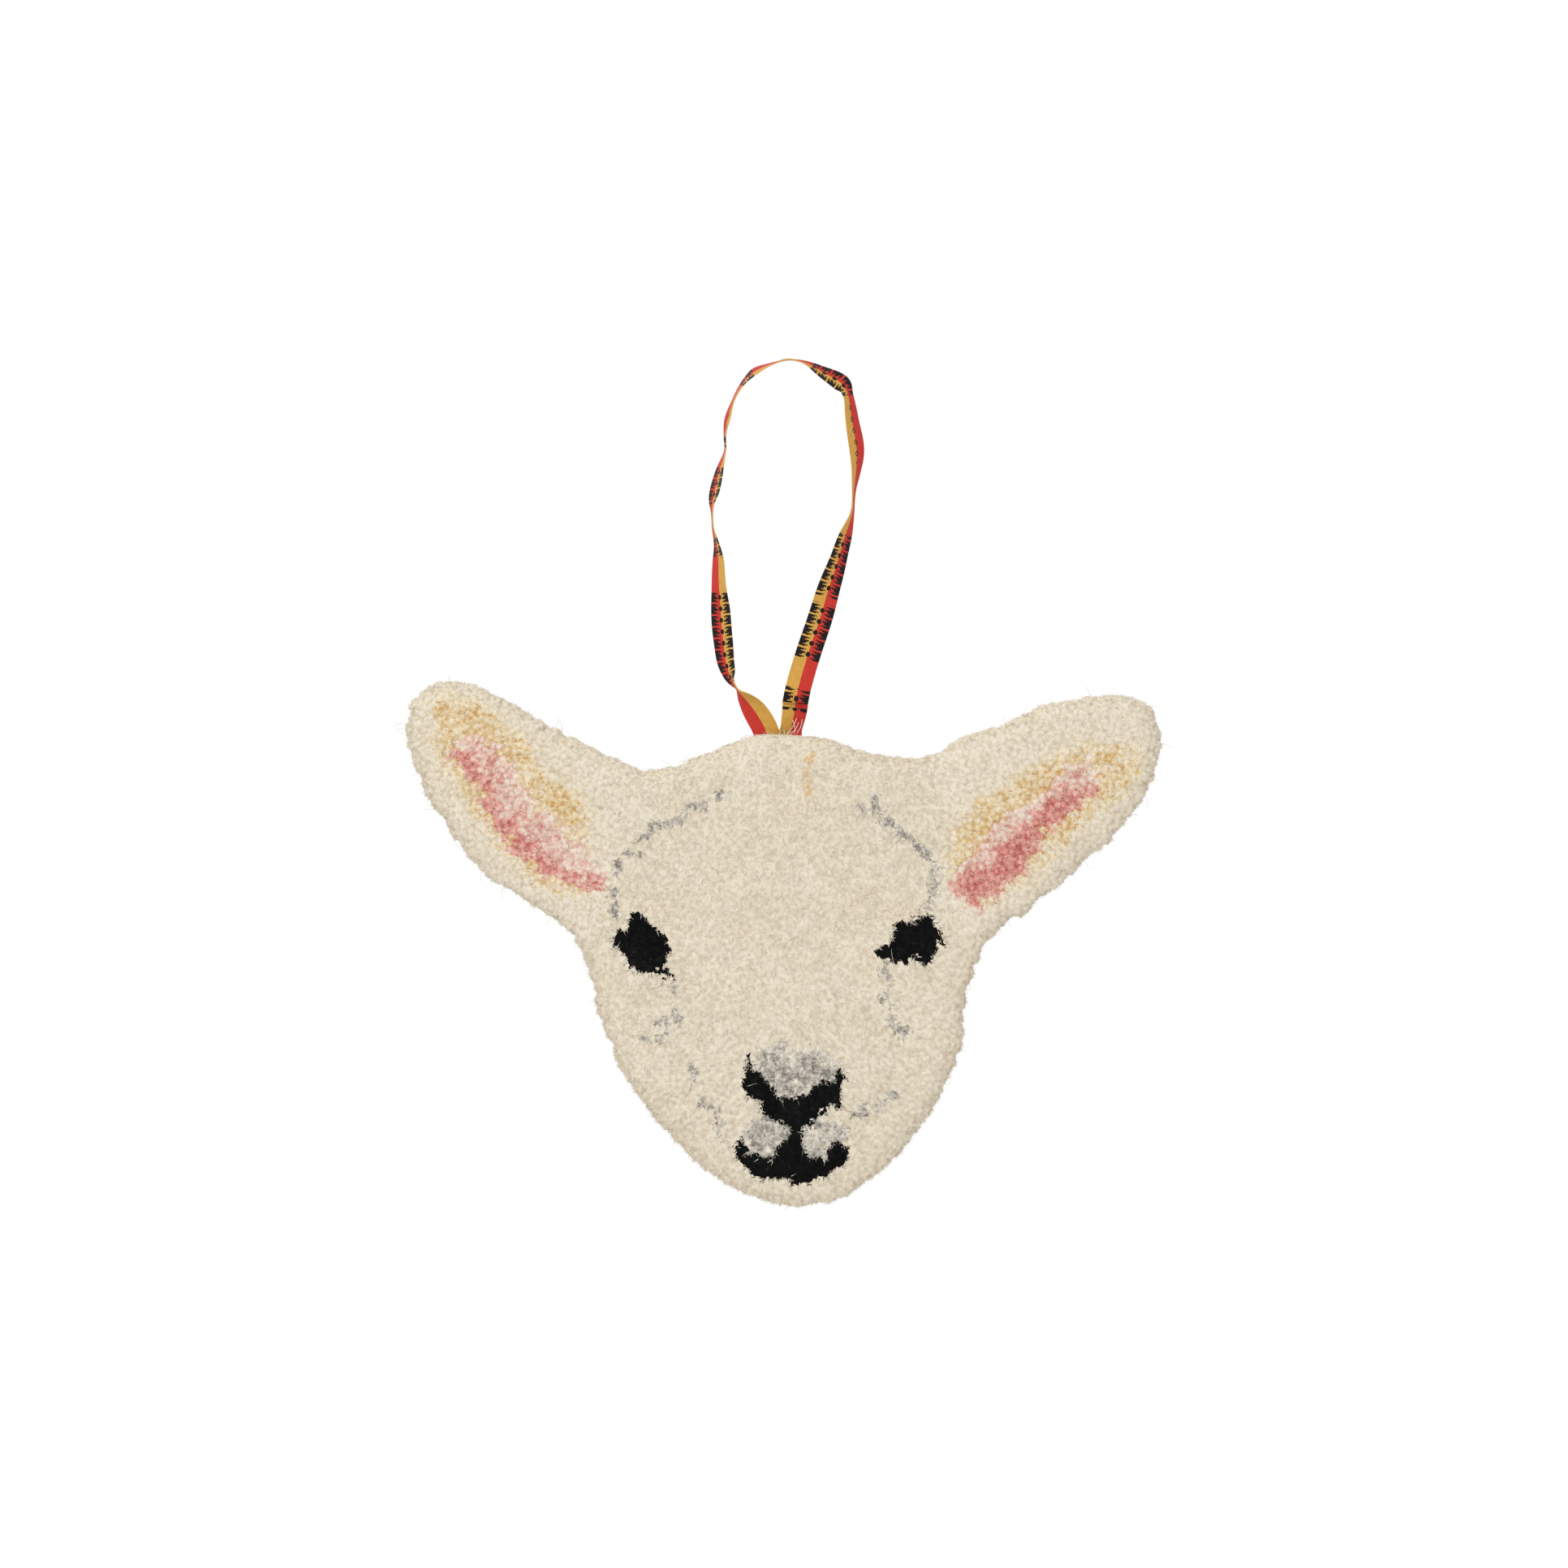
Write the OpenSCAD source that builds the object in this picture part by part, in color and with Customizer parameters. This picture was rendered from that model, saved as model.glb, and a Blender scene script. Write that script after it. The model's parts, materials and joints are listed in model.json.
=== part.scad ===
// Flat tufted wool lamb's head that hangs from a loop of narrow ribbon.
// X runs across the face, Z is up and the face looks towards -Y.
// The origin is the inside top of the ribbon loop, where a hook carries it.

/* [Head] */
// Width of the head from ear tip to ear tip
head_w = 175; // [160:1:190]
// Height of the cut pile above the cloth
pile_h = 7.5; // [5:0.5:12]
// Thickness of the tufting cloth
cloth_t = 0.8; // [0.6:0.1:1]
// Thickness of the latex coat
latex_t = 0.8; // [0.5:0.1:1.5]
// Thickness of the back cover
cover_t = 0.8; // [0.5:0.1:1.5]
// Width of the hem that is turned to the back
hem_w = 6; // [4:0.5:7]

/* [Ribbon] */
// Width of the ribbon
ribbon_w = 6; // [5:0.25:6.5]
// Thickness of the ribbon
ribbon_t = 0.4; // [0.3:0.05:0.5]
// Length of each ribbon end that is hidden in the head
ribbon_hidden = 14; // [8:1:20]

/* [Stitches] */
// Distance between two whip stitches round the back cover
stitch_pitch = 6; // [4:0.5:10]
// Thickness of the sewing thread
thread_t = 0.5; // [0.3:0.1:0.6]

/* [Hidden] */

IVORY = "#e6dcc8";
SAND = "#d9bd86";
PINK = "#ecbab4";
ROSE = "#cc6670";
BLACK = "#16161a";
GREY = "#a9a7a3";
OCHRE = "#d8b368";
COTTON = "#d8d0bd";
LATEX = "#f1e8cf";
THREAD = "#f2efe6";
RIBBON = "#c98a2e";

// Layers, as depths forward from the back face
hem_d = cover_t;
latex_d = hem_d + cloth_t;
cloth_d = latex_d + latex_t;
pile_d = cloth_d + cloth_t;
front_d = pile_d + pile_h;
// Place of the back face, which puts the middle of the ribbon at y = 0
back_y = cover_t + ribbon_t / 2;

// Insets from the outline of the pile
cloth_inset = 1;
cover_inset = 1.5;
latex_inset = cloth_inset + cloth_t;
hem_inset = cloth_inset + hem_w;

// Height of the crown, where the head's own points have z = 0
crown_z = -87.5;
// The head's points are drawn for a head of this width
drawn_w = 175;
head_k = head_w / drawn_w;

// Heights of the cuts between the pieces of the ribbon
loop_foot_z = -83.7;
root_top_z = -84;
root_foot_z = -86.2;
end_top_z = -87;
left_end_x = -5;
right_end_x = 2;
// Free space round a ribbon end in its slit
slit_play = 0.1;

OUTLINE_STEPS = 4;
PATCH_STEPS = 3;
RINGS_PER_SPAN = 2;
EPS = 0.01;

// Outline of the head, from the crown round the left ear, the chin and the right ear
HEAD = [
    [0, 0], [-8, -0.5], [-19, -5], [-31, -8.5], [-40, -5],
    [-54, 1.5], [-66, 9], [-74, 12], [-81, 12], [-86.5, 7.5], [-87.5, -0.5], [-85, -10.5],
    [-78, -21.5], [-71, -31.5], [-60, -38.5], [-49, -46.5],
    [-44.5, -56.5], [-42, -67.5], [-36.5, -80], [-27, -92.5],
    [-15, -103.5], [0, -109.5], [14, -107.5], [25, -99.5],
    [34, -88], [41, -73.5], [43, -58.5],
    [48, -47.5], [59, -39], [70, -30], [81, -19], [87, -7.5], [87, 3.5], [80, 9],
    [64, 7.5], [52, 3], [43, 0], [32, -5.5], [20, -4], [10, -1]
];

// Side of each ear that takes in the whole ear, cut along the ear's base
LEFT_EAR_SIDE = [
    [-33, -8], [-37, -20], [-38, -32], [-40, -42], [-47.5, -50], [-100, -50], [-100, 20], [-33, 20]
];
RIGHT_EAR_SIDE = [
    [33, -5], [36, -18], [36.5, -32], [38.5, -44], [46, -51], [100, -51], [100, 20], [33, 20]
];

LEFT_SAND = [
    [-82, 7.5], [-77, 10], [-71, 8], [-65, 3.5], [-59, -1.5], [-55, -7.5], [-48, -12.5],
    [-44.5, -20.5], [-43, -28.5], [-42, -34], [-46, -38], [-55, -36], [-63, -30],
    [-69, -23.5], [-74, -15.5], [-80, -7.5], [-82, 0.5]
];
RIGHT_SAND = [
    [38, -24.5], [40, -20], [44, -15.5], [50, -12], [56, -8], [63, -4.5], [70, -2], [77, -2],
    [83, -3.5], [84, -7.5], [82, -12.5], [76, -17], [70, -21.5], [64, -28], [57, -34],
    [50, -38.5], [45, -42], [41, -38.5], [38.5, -33]
];
LEFT_PINK = [
    [-75, -1], [-70, 0.5], [-66, -3.5], [-62, -8.5], [-60, -13.5], [-56, -18], [-50, -22.5],
    [-45, -27.5], [-41.5, -32], [-41.5, -36], [-43, -37.5], [-49, -35], [-56, -32.5],
    [-61, -28], [-66, -22.5], [-69, -16.5], [-72.5, -11.5], [-75, -6.5], [-77.5, -4]
];
RIGHT_PINK = [
    [38, -34.5], [41, -30.5], [46, -26], [50, -21.5], [56, -17], [62, -11.5], [67, -7],
    [71, -6], [73.5, -10], [71.5, -14], [67, -18.5], [62, -22.5], [59, -27], [55, -32],
    [51, -35.5], [45, -40.5], [41, -38], [38.5, -36.5]
];
// Each rose region reaches past the lower side of its pink band, which bounds it
LEFT_ROSE = [
    [-76, -4], [-73, -3.5], [-71, -7.5], [-68, -10.5], [-67, -15.5], [-64, -19.5], [-60, -23],
    [-56, -27.5], [-51, -31], [-46, -33], [-38, -33.5], [-38, -45], [-60, -45], [-82, -18]
];
RIGHT_ROSE = [
    [40, -32.5], [46, -30.5], [50, -26.5], [56, -20.5], [62, -15.5], [68, -11.5], [76, -12],
    [80, -20], [60, -40], [48, -47], [38, -42]
];

LEFT_EYE = [
    [-34.5, -41], [-36.5, -45], [-38.5, -46], [-39.5, -49], [-37, -52], [-35, -54.5], [-30, -55.5],
    [-25, -57], [-28, -54], [-27, -52], [-27, -48], [-30, -44.5]
];
RIGHT_EYE = [
    [33.5, -42], [29, -43], [25.5, -45], [24.5, -48.5], [21, -49.5], [23, -52.5], [28, -53],
    [31.5, -52], [33, -54], [35, -51.5], [36.5, -49], [36, -45]
];
// Nose, stem and mouth in one run, from the left nostril down and round
NOSE_MOUTH = [
    [-6.5, -73.5], [-8.5, -76], [-9.5, -80], [-8.5, -83.5], [-5.5, -85], [-4.5, -88], [-1.5, -89.5],
    [0.5, -91], [1, -93.5], [-1.5, -95.5], [-2, -98], [-5.5, -98], [-8.5, -96.5], [-10, -93.5],
    [-11, -98], [-8, -101.5], [-4.5, -103.5], [0, -102.5], [3.5, -104], [9, -103.5], [12.5, -101],
    [15, -98.5], [14.5, -95.5], [11, -95], [10, -98], [7, -98.5], [4.5, -96.5], [4.5, -93],
    [5.5, -91], [7.5, -89.5], [9, -87.5], [11, -86], [13.5, -87], [13.5, -82.5], [14.5, -79],
    [12.5, -77.5], [11.5, -81], [8, -81], [5.5, -83.5], [2, -84.5], [-1, -84.5], [-3, -82],
    [-4.5, -79], [-7, -78.5], [-7.5, -76]
];
// The grey regions reach under the black, which bounds them
NOSE_GREY = [
    [-7, -75], [-6.5, -79], [-4, -81], [-2.5, -84.5], [0, -86], [4, -86], [8, -82.5],
    [11.5, -82.5], [13, -79.5], [11.5, -74.5], [9, -73], [5, -73.5], [1, -73], [-1.5, -71], [-4, -73]
];
LEFT_MUZZLE_GREY = [
    [-4, -88.5], [-7.5, -90], [-10, -93.5], [-9.5, -97], [-6, -99], [-1, -99], [0.5, -95.5],
    [2, -93], [0, -90.5]
];
RIGHT_MUZZLE_GREY = [
    [7.5, -89], [4, -92.5], [4, -96.5], [6.5, -99.5], [10.5, -99], [11.5, -95.5], [15, -95],
    [15, -91], [11, -90]
];

// Marks of one or two rows of tufts: each is [route, width]
LEFT_BROW = [
    [[[-13, -14], [-16, -14.5]], 1.6], [[[-18, -16], [-22, -17]], 2],
    [[[-22.5, -19], [-26, -20.5], [-30, -21.5]], 1.8], [[[-31.5, -23.5], [-33, -24.5]], 1.6],
    [[[-34.5, -27.5], [-36.5, -27]], 1.6], [[[-38.5, -29.5], [-39, -33]], 1.5],
    [[[-39, -36], [-39.5, -39], [-38.5, -42]], 1.6]
];
RIGHT_BROW = [
    [[[18, -16.5], [19.5, -17.5]], 1.2], [[[21, -15], [22, -18]], 1.5],
    [[[22.5, -20], [25, -21]], 2], [[[26.5, -21.5], [29, -23.5]], 1.8],
    [[[30.5, -25], [34, -28.5]], 1.6], [[[35, -31], [35, -36.5]], 1.6],
    [[[34.5, -38.5], [34, -40.5]], 1.4]
];
RIGHT_TEAR = [
    [[[23.5, -54.5], [24.5, -57]], 1.4], [[[23.5, -60], [25, -63.5]], 1.5],
    [[[25, -66], [26, -67.5]], 2], [[[28.5, -67.5], [27.5, -70]], 2]
];
LEFT_CHEEK_MARKS = [
    [[[-25, -59], [-25.5, -60.5]], 1.2], [[[-25.5, -64.5], [-24, -67]], 1.3],
    [[[-29.5, -67], [-27, -67]], 1.2], [[[-29, -71], [-26.5, -69.5]], 1.4],
    [[[-33, -70.5], [-31, -71]], 1]
];
MUZZLE_MARKS = [
    [[[-21, -77], [-21, -82]], 1.3], [[[-18.5, -85], [-17, -86.5]], 1.6],
    [[[-15, -88], [-15, -92.5]], 1.1], [[[-13.5, -94], [-12, -96]], 1.2],
    [[[16.5, -88], [19.5, -87.5]], 1.4], [[[22, -86.5], [23.5, -85]], 1.5],
    [[[24.5, -84], [26.5, -83.5]], 1.8]
];
FOREHEAD_FLECK = [[[[6.5, -4.5], [5.5, -9], [5.5, -13.5]], 1.6]];

// Route of the ribbon's middle line from the left foot over the top to the right foot.
// Each point is [x, y, z, turn]: turn 0 shows the ribbon's face to -Y, and 90 its edge.
RIBBON_ROUTE = [
    [-5, 0, -83.7, 0], [-7.5, 0, -81, 30], [-9.5, 0, -78.5, 62], [-11, 0, -76, 88],
    [-12.5, 0.5, -73.5, 60], [-13.5, 0.5, -70, 48], [-14, 0.5, -65, 42], [-14.5, 0.5, -59, 42],
    [-15, 0, -53, 56], [-15, 0, -47, 64], [-15.5, 0, -43, 78], [-16.5, 0, -39, 88],
    [-16.5, 0, -35, 86], [-16, 0.5, -31, 79], [-15, 1, -26, 80], [-13.5, 1, -21, 87],
    [-13.5, 1, -17.5, 86], [-13, 1, -13.5, 77], [-11.5, 0.5, -9, 84], [-9, 0.5, -5, 79],
    [-6.5, 0, -2.5, 72], [-3, 0, -0.8, 82], [1, 0, 0.2, 88], [5, 0, -0.5, 80],
    [9, 0, -2.5, 62], [13, 0, -5, 46], [15, 0, -8, 60], [16, 0, -13, 62],
    [17, 0, -20, 54], [17, 0, -26, 70], [16.5, 0.5, -31, 83], [16, 0.5, -35.5, 82],
    [14.5, 0.5, -41, 60], [13, 0.5, -46, 50], [11, 0, -52, 33], [9, 0, -59, 18],
    [6.5, 0, -66.5, 12], [4.5, 0, -73, 12], [3, 0, -78.5, 5], [2, 0, -83.7, 0]
];

// Point at t on the smooth curve between b and c, with a before and d after them
function curve_point(a, b, c, d, t) =
    0.5 * (2 * b + (c - a) * t + (2 * a - 5 * b + 4 * c - d) * t * t + (3 * b - a - 3 * c + d) * t * t * t);

// Closed smooth curve through the points
function smooth_loop(points, steps) =
    let (n = len(points))
    [for (i = [0:n - 1], s = [0:steps - 1])
        curve_point(points[(i + n - 1) % n], points[i], points[(i + 1) % n], points[(i + 2) % n], s / steps)];

// Open smooth curve through the points
function smooth_route(points, steps) =
    let (last = len(points) - 1)
    concat(
        [for (i = [0:last - 1], s = [0:steps - 1])
            curve_point(points[max(i - 1, 0)], points[i], points[i + 1], points[min(i + 2, last)], s / steps)],
        [points[last]]
    );

function unit(v) = v / norm(v);
function left_of(v) = [-v[1], v[0]];

// Inward direction at point i of a loop that runs round its inside on its left
function inward(loop, i) =
    let (n = len(loop))
    unit(left_of(loop[(i + 1) % n] - loop[(i + n - 1) % n]));

function inset_loop(loop, inset) = [for (i = [0:len(loop) - 1]) loop[i] + inset * inward(loop, i)];

// Closed outline of a stroke of width w along a short open route
function route_dir(route, i) = unit(route[min(i + 1, len(route) - 1)] - route[max(i - 1, 0)]);
function stroke_side(route, w) = [for (i = [0:len(route) - 1]) route[i] + w / 2 * left_of(route_dir(route, i))];
function reversed(list) = [for (i = [len(list) - 1:-1:0]) list[i]];
function stroke_loop(route, w) =
    let (last = len(route) - 1)
    concat(
        [route[0] - w / 2 * route_dir(route, 0)],
        stroke_side(route, -w),
        [route[last] + w / 2 * route_dir(route, last)],
        reversed(stroke_side(route, w))
    );

// Points of the head's drawing in their place below the ribbon
function placed(points) = [for (p = points) [p[0] * head_k, crown_z + p[1] * head_k]];

HEAD_LOOP = placed(smooth_loop(HEAD, OUTLINE_STEPS));

// Children drawn in the plane of X and Z, as a layer between two depths
module layer(from_d, to_d) {
    translate([0, back_y - from_d, 0])
        rotate([90, 0, 0])
            linear_extrude(to_d - from_d)
                children();
}

module head_area(inset) {
    polygon(inset_loop(HEAD_LOOP, inset));
}

module patch(points) {
    polygon(placed(smooth_loop(points, PATCH_STEPS)));
}

module marks(strokes) {
    for (stroke = strokes)
        patch(stroke_loop(stroke[0], stroke[1]));
}

module all_marks() {
    marks(LEFT_BROW);
    marks(RIGHT_BROW);
    marks(RIGHT_TEAR);
    marks(LEFT_CHEEK_MARKS);
    marks(MUZZLE_MARKS);
    marks(FOREHEAD_FLECK);
}

module face_patches() {
    patch(LEFT_EYE);
    patch(RIGHT_EYE);
    patch(NOSE_MOUTH);
    patch(NOSE_GREY);
    patch(LEFT_MUZZLE_GREY);
    patch(RIGHT_MUZZLE_GREY);
    all_marks();
}

module pile() {
    layer(pile_d, front_d)
        children();
}

module marks_pile(strokes) {
    color(GREY)
        pile()
            marks(strokes);
}

module face_pile() {
    color(IVORY)
        pile()
            difference() {
                head_area(0);
                polygon(placed(LEFT_EAR_SIDE));
                polygon(placed(RIGHT_EAR_SIDE));
                face_patches();
            }
}

module ear_pile(ear_side, sand, pink, brow) {
    color(IVORY)
        pile()
            difference() {
                intersection() {
                    head_area(0);
                    polygon(placed(ear_side));
                }
                patch(sand);
                patch(pink);
                marks(brow);
            }
}

module ear_sand_pile(sand, pink) {
    color(SAND)
        pile()
            difference() {
                patch(sand);
                patch(pink);
            }
}

module ear_pink_pile(pink, rose) {
    color(PINK)
        pile()
            difference() {
                patch(pink);
                patch(rose);
            }
}

module ear_rose_pile(pink, rose) {
    color(ROSE)
        pile()
            intersection() {
                patch(pink);
                patch(rose);
            }
}

module black_pile(points) {
    color(BLACK)
        pile()
            patch(points);
}

module grey_pile(points) {
    color(GREY)
        pile()
            difference() {
                patch(points);
                patch(NOSE_MOUTH);
            }
}

// Place of one ribbon end, from z_from up to z_to, with play all round it
module ribbon_slit(x, z_from, z_to, play) {
    translate([x - ribbon_w / 2 - play, z_from - play])
        square([ribbon_w + 2 * play, z_to - z_from + 2 * play]);
}

module ribbon_slits() {
    for (x = [left_end_x, right_end_x])
        ribbon_slit(x, crown_z - ribbon_hidden, end_top_z, slit_play);
}

// Tufting cloth under the pile, with its edge folded to the back as a hem
module tufting_cloth() {
    color(COTTON) {
        difference() {
            union() {
                layer(cloth_d, pile_d)
                    head_area(cloth_inset);
                layer(latex_d, cloth_d)
                    difference() {
                        head_area(cloth_inset);
                        head_area(latex_inset);
                    }
                layer(hem_d, latex_d)
                    difference() {
                        head_area(cloth_inset);
                        head_area(hem_inset);
                    }
            }
            layer(hem_d - EPS, latex_d)
                ribbon_slits();
        }
    }
}

// Latex over the roots of the tufts, and level with the hem inside it
module latex_coat() {
    color(LATEX) {
        layer(latex_d, cloth_d)
            head_area(latex_inset);
        layer(hem_d, latex_d)
            difference() {
                head_area(hem_inset);
                ribbon_slits();
            }
    }
}

module back_cover() {
    color(COTTON)
        layer(0, hem_d)
            head_area(cover_inset);
}

// Length of the loop and the point and direction every pitch along it
function loop_span(loop, i) = norm(loop[(i + 1) % len(loop)] - loop[i]);
function run_lengths(loop, i = 0, sum = 0) =
    i == len(loop) ? [sum] : concat([sum], run_lengths(loop, i + 1, sum + loop_span(loop, i)));

// Whip stitches that hold the rim of the cover to the fold of the cloth
module edge_stitches() {
    stitch_out = 1.05;
    stitch_in = 0.4;
    stitch_back_d = 0.2;
    runs = run_lengths(HEAD_LOOP);
    count = floor(runs[len(HEAD_LOOP)] / stitch_pitch);
    color(THREAD)
        for (i = [0:len(HEAD_LOOP) - 1])
            for (s = [0:count - 1])
                let (at = s * runs[len(HEAD_LOOP)] / count)
                    if (at >= runs[i] && at < runs[i + 1]) {
                        dir = unit(HEAD_LOOP[(i + 1) % len(HEAD_LOOP)] - HEAD_LOOP[i]);
                        foot = HEAD_LOOP[i] + (at - runs[i]) * dir + stitch_in * left_of(dir);
                        layer(stitch_back_d, hem_d)
                            translate(foot)
                                rotate(atan2(dir[1], dir[0]))
                                    square([thread_t, stitch_out]);
                    }
}

// One flat piece of ribbon in the plane y = 0
module flat_ribbon(x, z_from, z_to) {
    color(RIBBON)
        translate([x - ribbon_w / 2, -ribbon_t / 2, z_from])
            cube([ribbon_w, ribbon_t, z_to - z_from]);
}

module ribbon_end(x) {
    flat_ribbon(x, crown_z - ribbon_hidden, end_top_z);
}

module ribbon_root(x) {
    flat_ribbon(x, root_foot_z, root_top_z);
}

// Bars of thread across each ribbon end, in front of it in its slit
module ribbon_tack_stitches() {
    bar_drops = [2, 4, 9, 12];
    color(THREAD)
        for (x = [left_end_x, right_end_x])
            for (drop = bar_drops)
                layer(hem_d + ribbon_t, latex_d)
                    translate([x - ribbon_w / 2, crown_z - drop])
                        square([ribbon_w, thread_t]);
}

// Swept flat strip: a ring of four corners at each point of the smooth route
function ribbon_ring(route, i) =
    let (
        here = route[i],
        before = route[max(i - 1, 0)],
        after = route[min(i + 1, len(route) - 1)],
        forward = unit([after[0] - before[0], after[1] - before[1], after[2] - before[2]]),
        across = unit(cross(forward, [0, -1, 0])),
        facing = cross(across, forward),
        is_end = i == 0 || i == len(route) - 1,
        level = [sign(across[0]), 0, 0],
        w = (is_end ? level : cos(here[3]) * across + sin(here[3]) * facing) * ribbon_w / 2,
        n = (is_end ? [0, -1, 0] : cos(here[3]) * facing - sin(here[3]) * across) * ribbon_t / 2,
        at = [here[0], here[1], here[2]]
    )
    [at - w - n, at + w - n, at + w + n, at - w + n];

module ribbon_loop() {
    route = smooth_route(RIBBON_ROUTE, RINGS_PER_SPAN);
    rings = len(route);
    corners = 4;
    points = [for (i = [0:rings - 1]) each ribbon_ring(route, i)];
    sides = [
        for (i = [0:rings - 2], k = [0:corners - 1])
            let (
                a = i * corners + k,
                b = i * corners + (k + 1) % corners,
                c = b + corners,
                d = a + corners
            )
            each [[a, b, c], [a, c, d]]
    ];
    first = 0;
    last = (rings - 1) * corners;
    caps = [
        [first, first + 2, first + 1], [first, first + 3, first + 2],
        [last, last + 1, last + 2], [last, last + 2, last + 3]
    ];
    color(RIBBON)
        polyhedron(points, concat(sides, caps));
}

ribbon_loop();
ribbon_root(left_end_x);  // ribbon_root_left
ribbon_root(right_end_x);  // ribbon_root_right
ribbon_end(left_end_x);  // ribbon_end_left
ribbon_end(right_end_x);  // ribbon_end_right
ribbon_tack_stitches();
back_cover();
edge_stitches();
latex_coat();
tufting_cloth();
face_pile();
ear_pile(LEFT_EAR_SIDE, LEFT_SAND, LEFT_PINK, LEFT_BROW);  // left_ear_pile
ear_pile(RIGHT_EAR_SIDE, RIGHT_SAND, RIGHT_PINK, RIGHT_BROW);  // right_ear_pile
ear_sand_pile(LEFT_SAND, LEFT_PINK);  // left_ear_sand_pile
ear_sand_pile(RIGHT_SAND, RIGHT_PINK);  // right_ear_sand_pile
ear_pink_pile(LEFT_PINK, LEFT_ROSE);  // left_ear_pink_pile
ear_pink_pile(RIGHT_PINK, RIGHT_ROSE);  // right_ear_pink_pile
ear_rose_pile(LEFT_PINK, LEFT_ROSE);  // left_ear_rose_pile
ear_rose_pile(RIGHT_PINK, RIGHT_ROSE);  // right_ear_rose_pile
black_pile(LEFT_EYE);  // left_eye_pile
black_pile(RIGHT_EYE);  // right_eye_pile
black_pile(NOSE_MOUTH);  // nose_mouth_pile
grey_pile(NOSE_GREY);  // nose_grey_pile
grey_pile(LEFT_MUZZLE_GREY);  // left_muzzle_grey_pile
grey_pile(RIGHT_MUZZLE_GREY);  // right_muzzle_grey_pile
marks_pile(LEFT_BROW);  // left_brow_pile
marks_pile(RIGHT_BROW);  // right_brow_pile
marks_pile(LEFT_CHEEK_MARKS);  // left_cheek_marks_pile
marks_pile(RIGHT_TEAR);  // right_tear_mark_pile
marks_pile(MUZZLE_MARKS);  // muzzle_marks_pile
marks_pile(FOREHEAD_FLECK);  // forehead_fleck_pile
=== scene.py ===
import json
import math
from functools import partial
from itertools import product

import bmesh
import bpy
import numpy as np
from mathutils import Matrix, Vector, geometry
from mathutils.bvhtree import BVHTree
from mathutils.kdtree import KDTree


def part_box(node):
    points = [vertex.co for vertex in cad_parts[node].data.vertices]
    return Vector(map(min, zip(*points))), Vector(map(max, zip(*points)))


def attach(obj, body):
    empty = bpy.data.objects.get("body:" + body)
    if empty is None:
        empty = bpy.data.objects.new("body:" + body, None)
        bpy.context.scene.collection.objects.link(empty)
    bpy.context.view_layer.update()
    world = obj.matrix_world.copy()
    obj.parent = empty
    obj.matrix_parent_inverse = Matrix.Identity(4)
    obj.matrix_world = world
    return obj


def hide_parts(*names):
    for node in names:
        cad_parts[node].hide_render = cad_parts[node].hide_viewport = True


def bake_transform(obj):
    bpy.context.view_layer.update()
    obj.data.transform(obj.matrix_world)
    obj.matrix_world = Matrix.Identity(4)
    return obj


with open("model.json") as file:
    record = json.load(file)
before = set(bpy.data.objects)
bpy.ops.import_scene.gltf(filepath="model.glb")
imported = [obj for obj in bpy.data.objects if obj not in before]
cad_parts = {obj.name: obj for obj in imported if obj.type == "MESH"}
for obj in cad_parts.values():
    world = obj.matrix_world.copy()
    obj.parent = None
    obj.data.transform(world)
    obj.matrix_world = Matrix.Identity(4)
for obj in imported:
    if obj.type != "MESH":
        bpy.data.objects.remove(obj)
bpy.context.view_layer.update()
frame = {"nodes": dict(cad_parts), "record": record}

MM = 0.001
rng = np.random.default_rng(20)

# ---------------------------------------------------------------- places from the frame, in millimetres


def node_box(node):
    low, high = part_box(node)
    return np.array(low) / MM, np.array(high) / MM


PILE_LOW, PILE_HIGH = node_box("face_pile")
FRONT_Y = PILE_LOW[1]
PILE_FOOT_Y = PILE_HIGH[1]
PILE_H = PILE_FOOT_Y - FRONT_Y
BACK_Y = node_box("back_cover")[1][1]
COVER_T = BACK_Y - node_box("back_cover")[0][1]
CROWN_Z = PILE_HIGH[2]
HEAD_MIDDLE = np.array([0.0, (CROWN_Z + PILE_LOW[2]) / 2])

# ---------------------------------------------------------------- colours


def linear(*colour):
    """Scene-linear colour of a colour given in 0 to 255."""
    shares = [c / 255 for c in colour]
    return tuple(c / 12.92 if c <= 0.04045 else ((c + 0.055) / 1.055) ** 2.4 for c in shares)


def darker(colour, share):
    """Scene-linear colour of a colour given in 0 to 255, at a share of its brightness."""
    return tuple(share * c for c in linear(*colour))


# Each wool is a ramp from its shaded to its bright fibres
WOOLS = {
    "ivory_wool": [(208, 188, 157), (219, 206, 183), (224, 214, 195), (228, 220, 205)],
    "sand_wool": [(192, 148, 84), (212, 182, 130), (223, 206, 173), (227, 218, 198)],
    "pink_wool": [(200, 138, 126), (216, 174, 160), (225, 202, 186), (229, 217, 202)],
    "rose_wool": [(178, 92, 88), (206, 134, 124), (220, 172, 159), (227, 206, 191)],
    "grey_wool": [(116, 109, 101), (168, 163, 154), (204, 197, 183), (229, 221, 204)],
    "ochre_wool": [(212, 177, 124), (220, 197, 157), (222, 209, 182), (228, 220, 202)],
    "black_wool": [(4, 4, 4), (8, 8, 8), (14, 14, 14), (40, 39, 38)],
}
WOOL_STOPS = (0.0, 0.35, 0.7, 1.0)
WOOL_SHADE = 0.845
GOLD = (200, 152, 70)
RED = (188, 51, 43)
INK = (26, 18, 18)
COTTON = (221, 211, 190)
THREAD = (240, 234, 220)
LATEX = (226, 214, 186)

# ---------------------------------------------------------------- small mesh helpers


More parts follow.
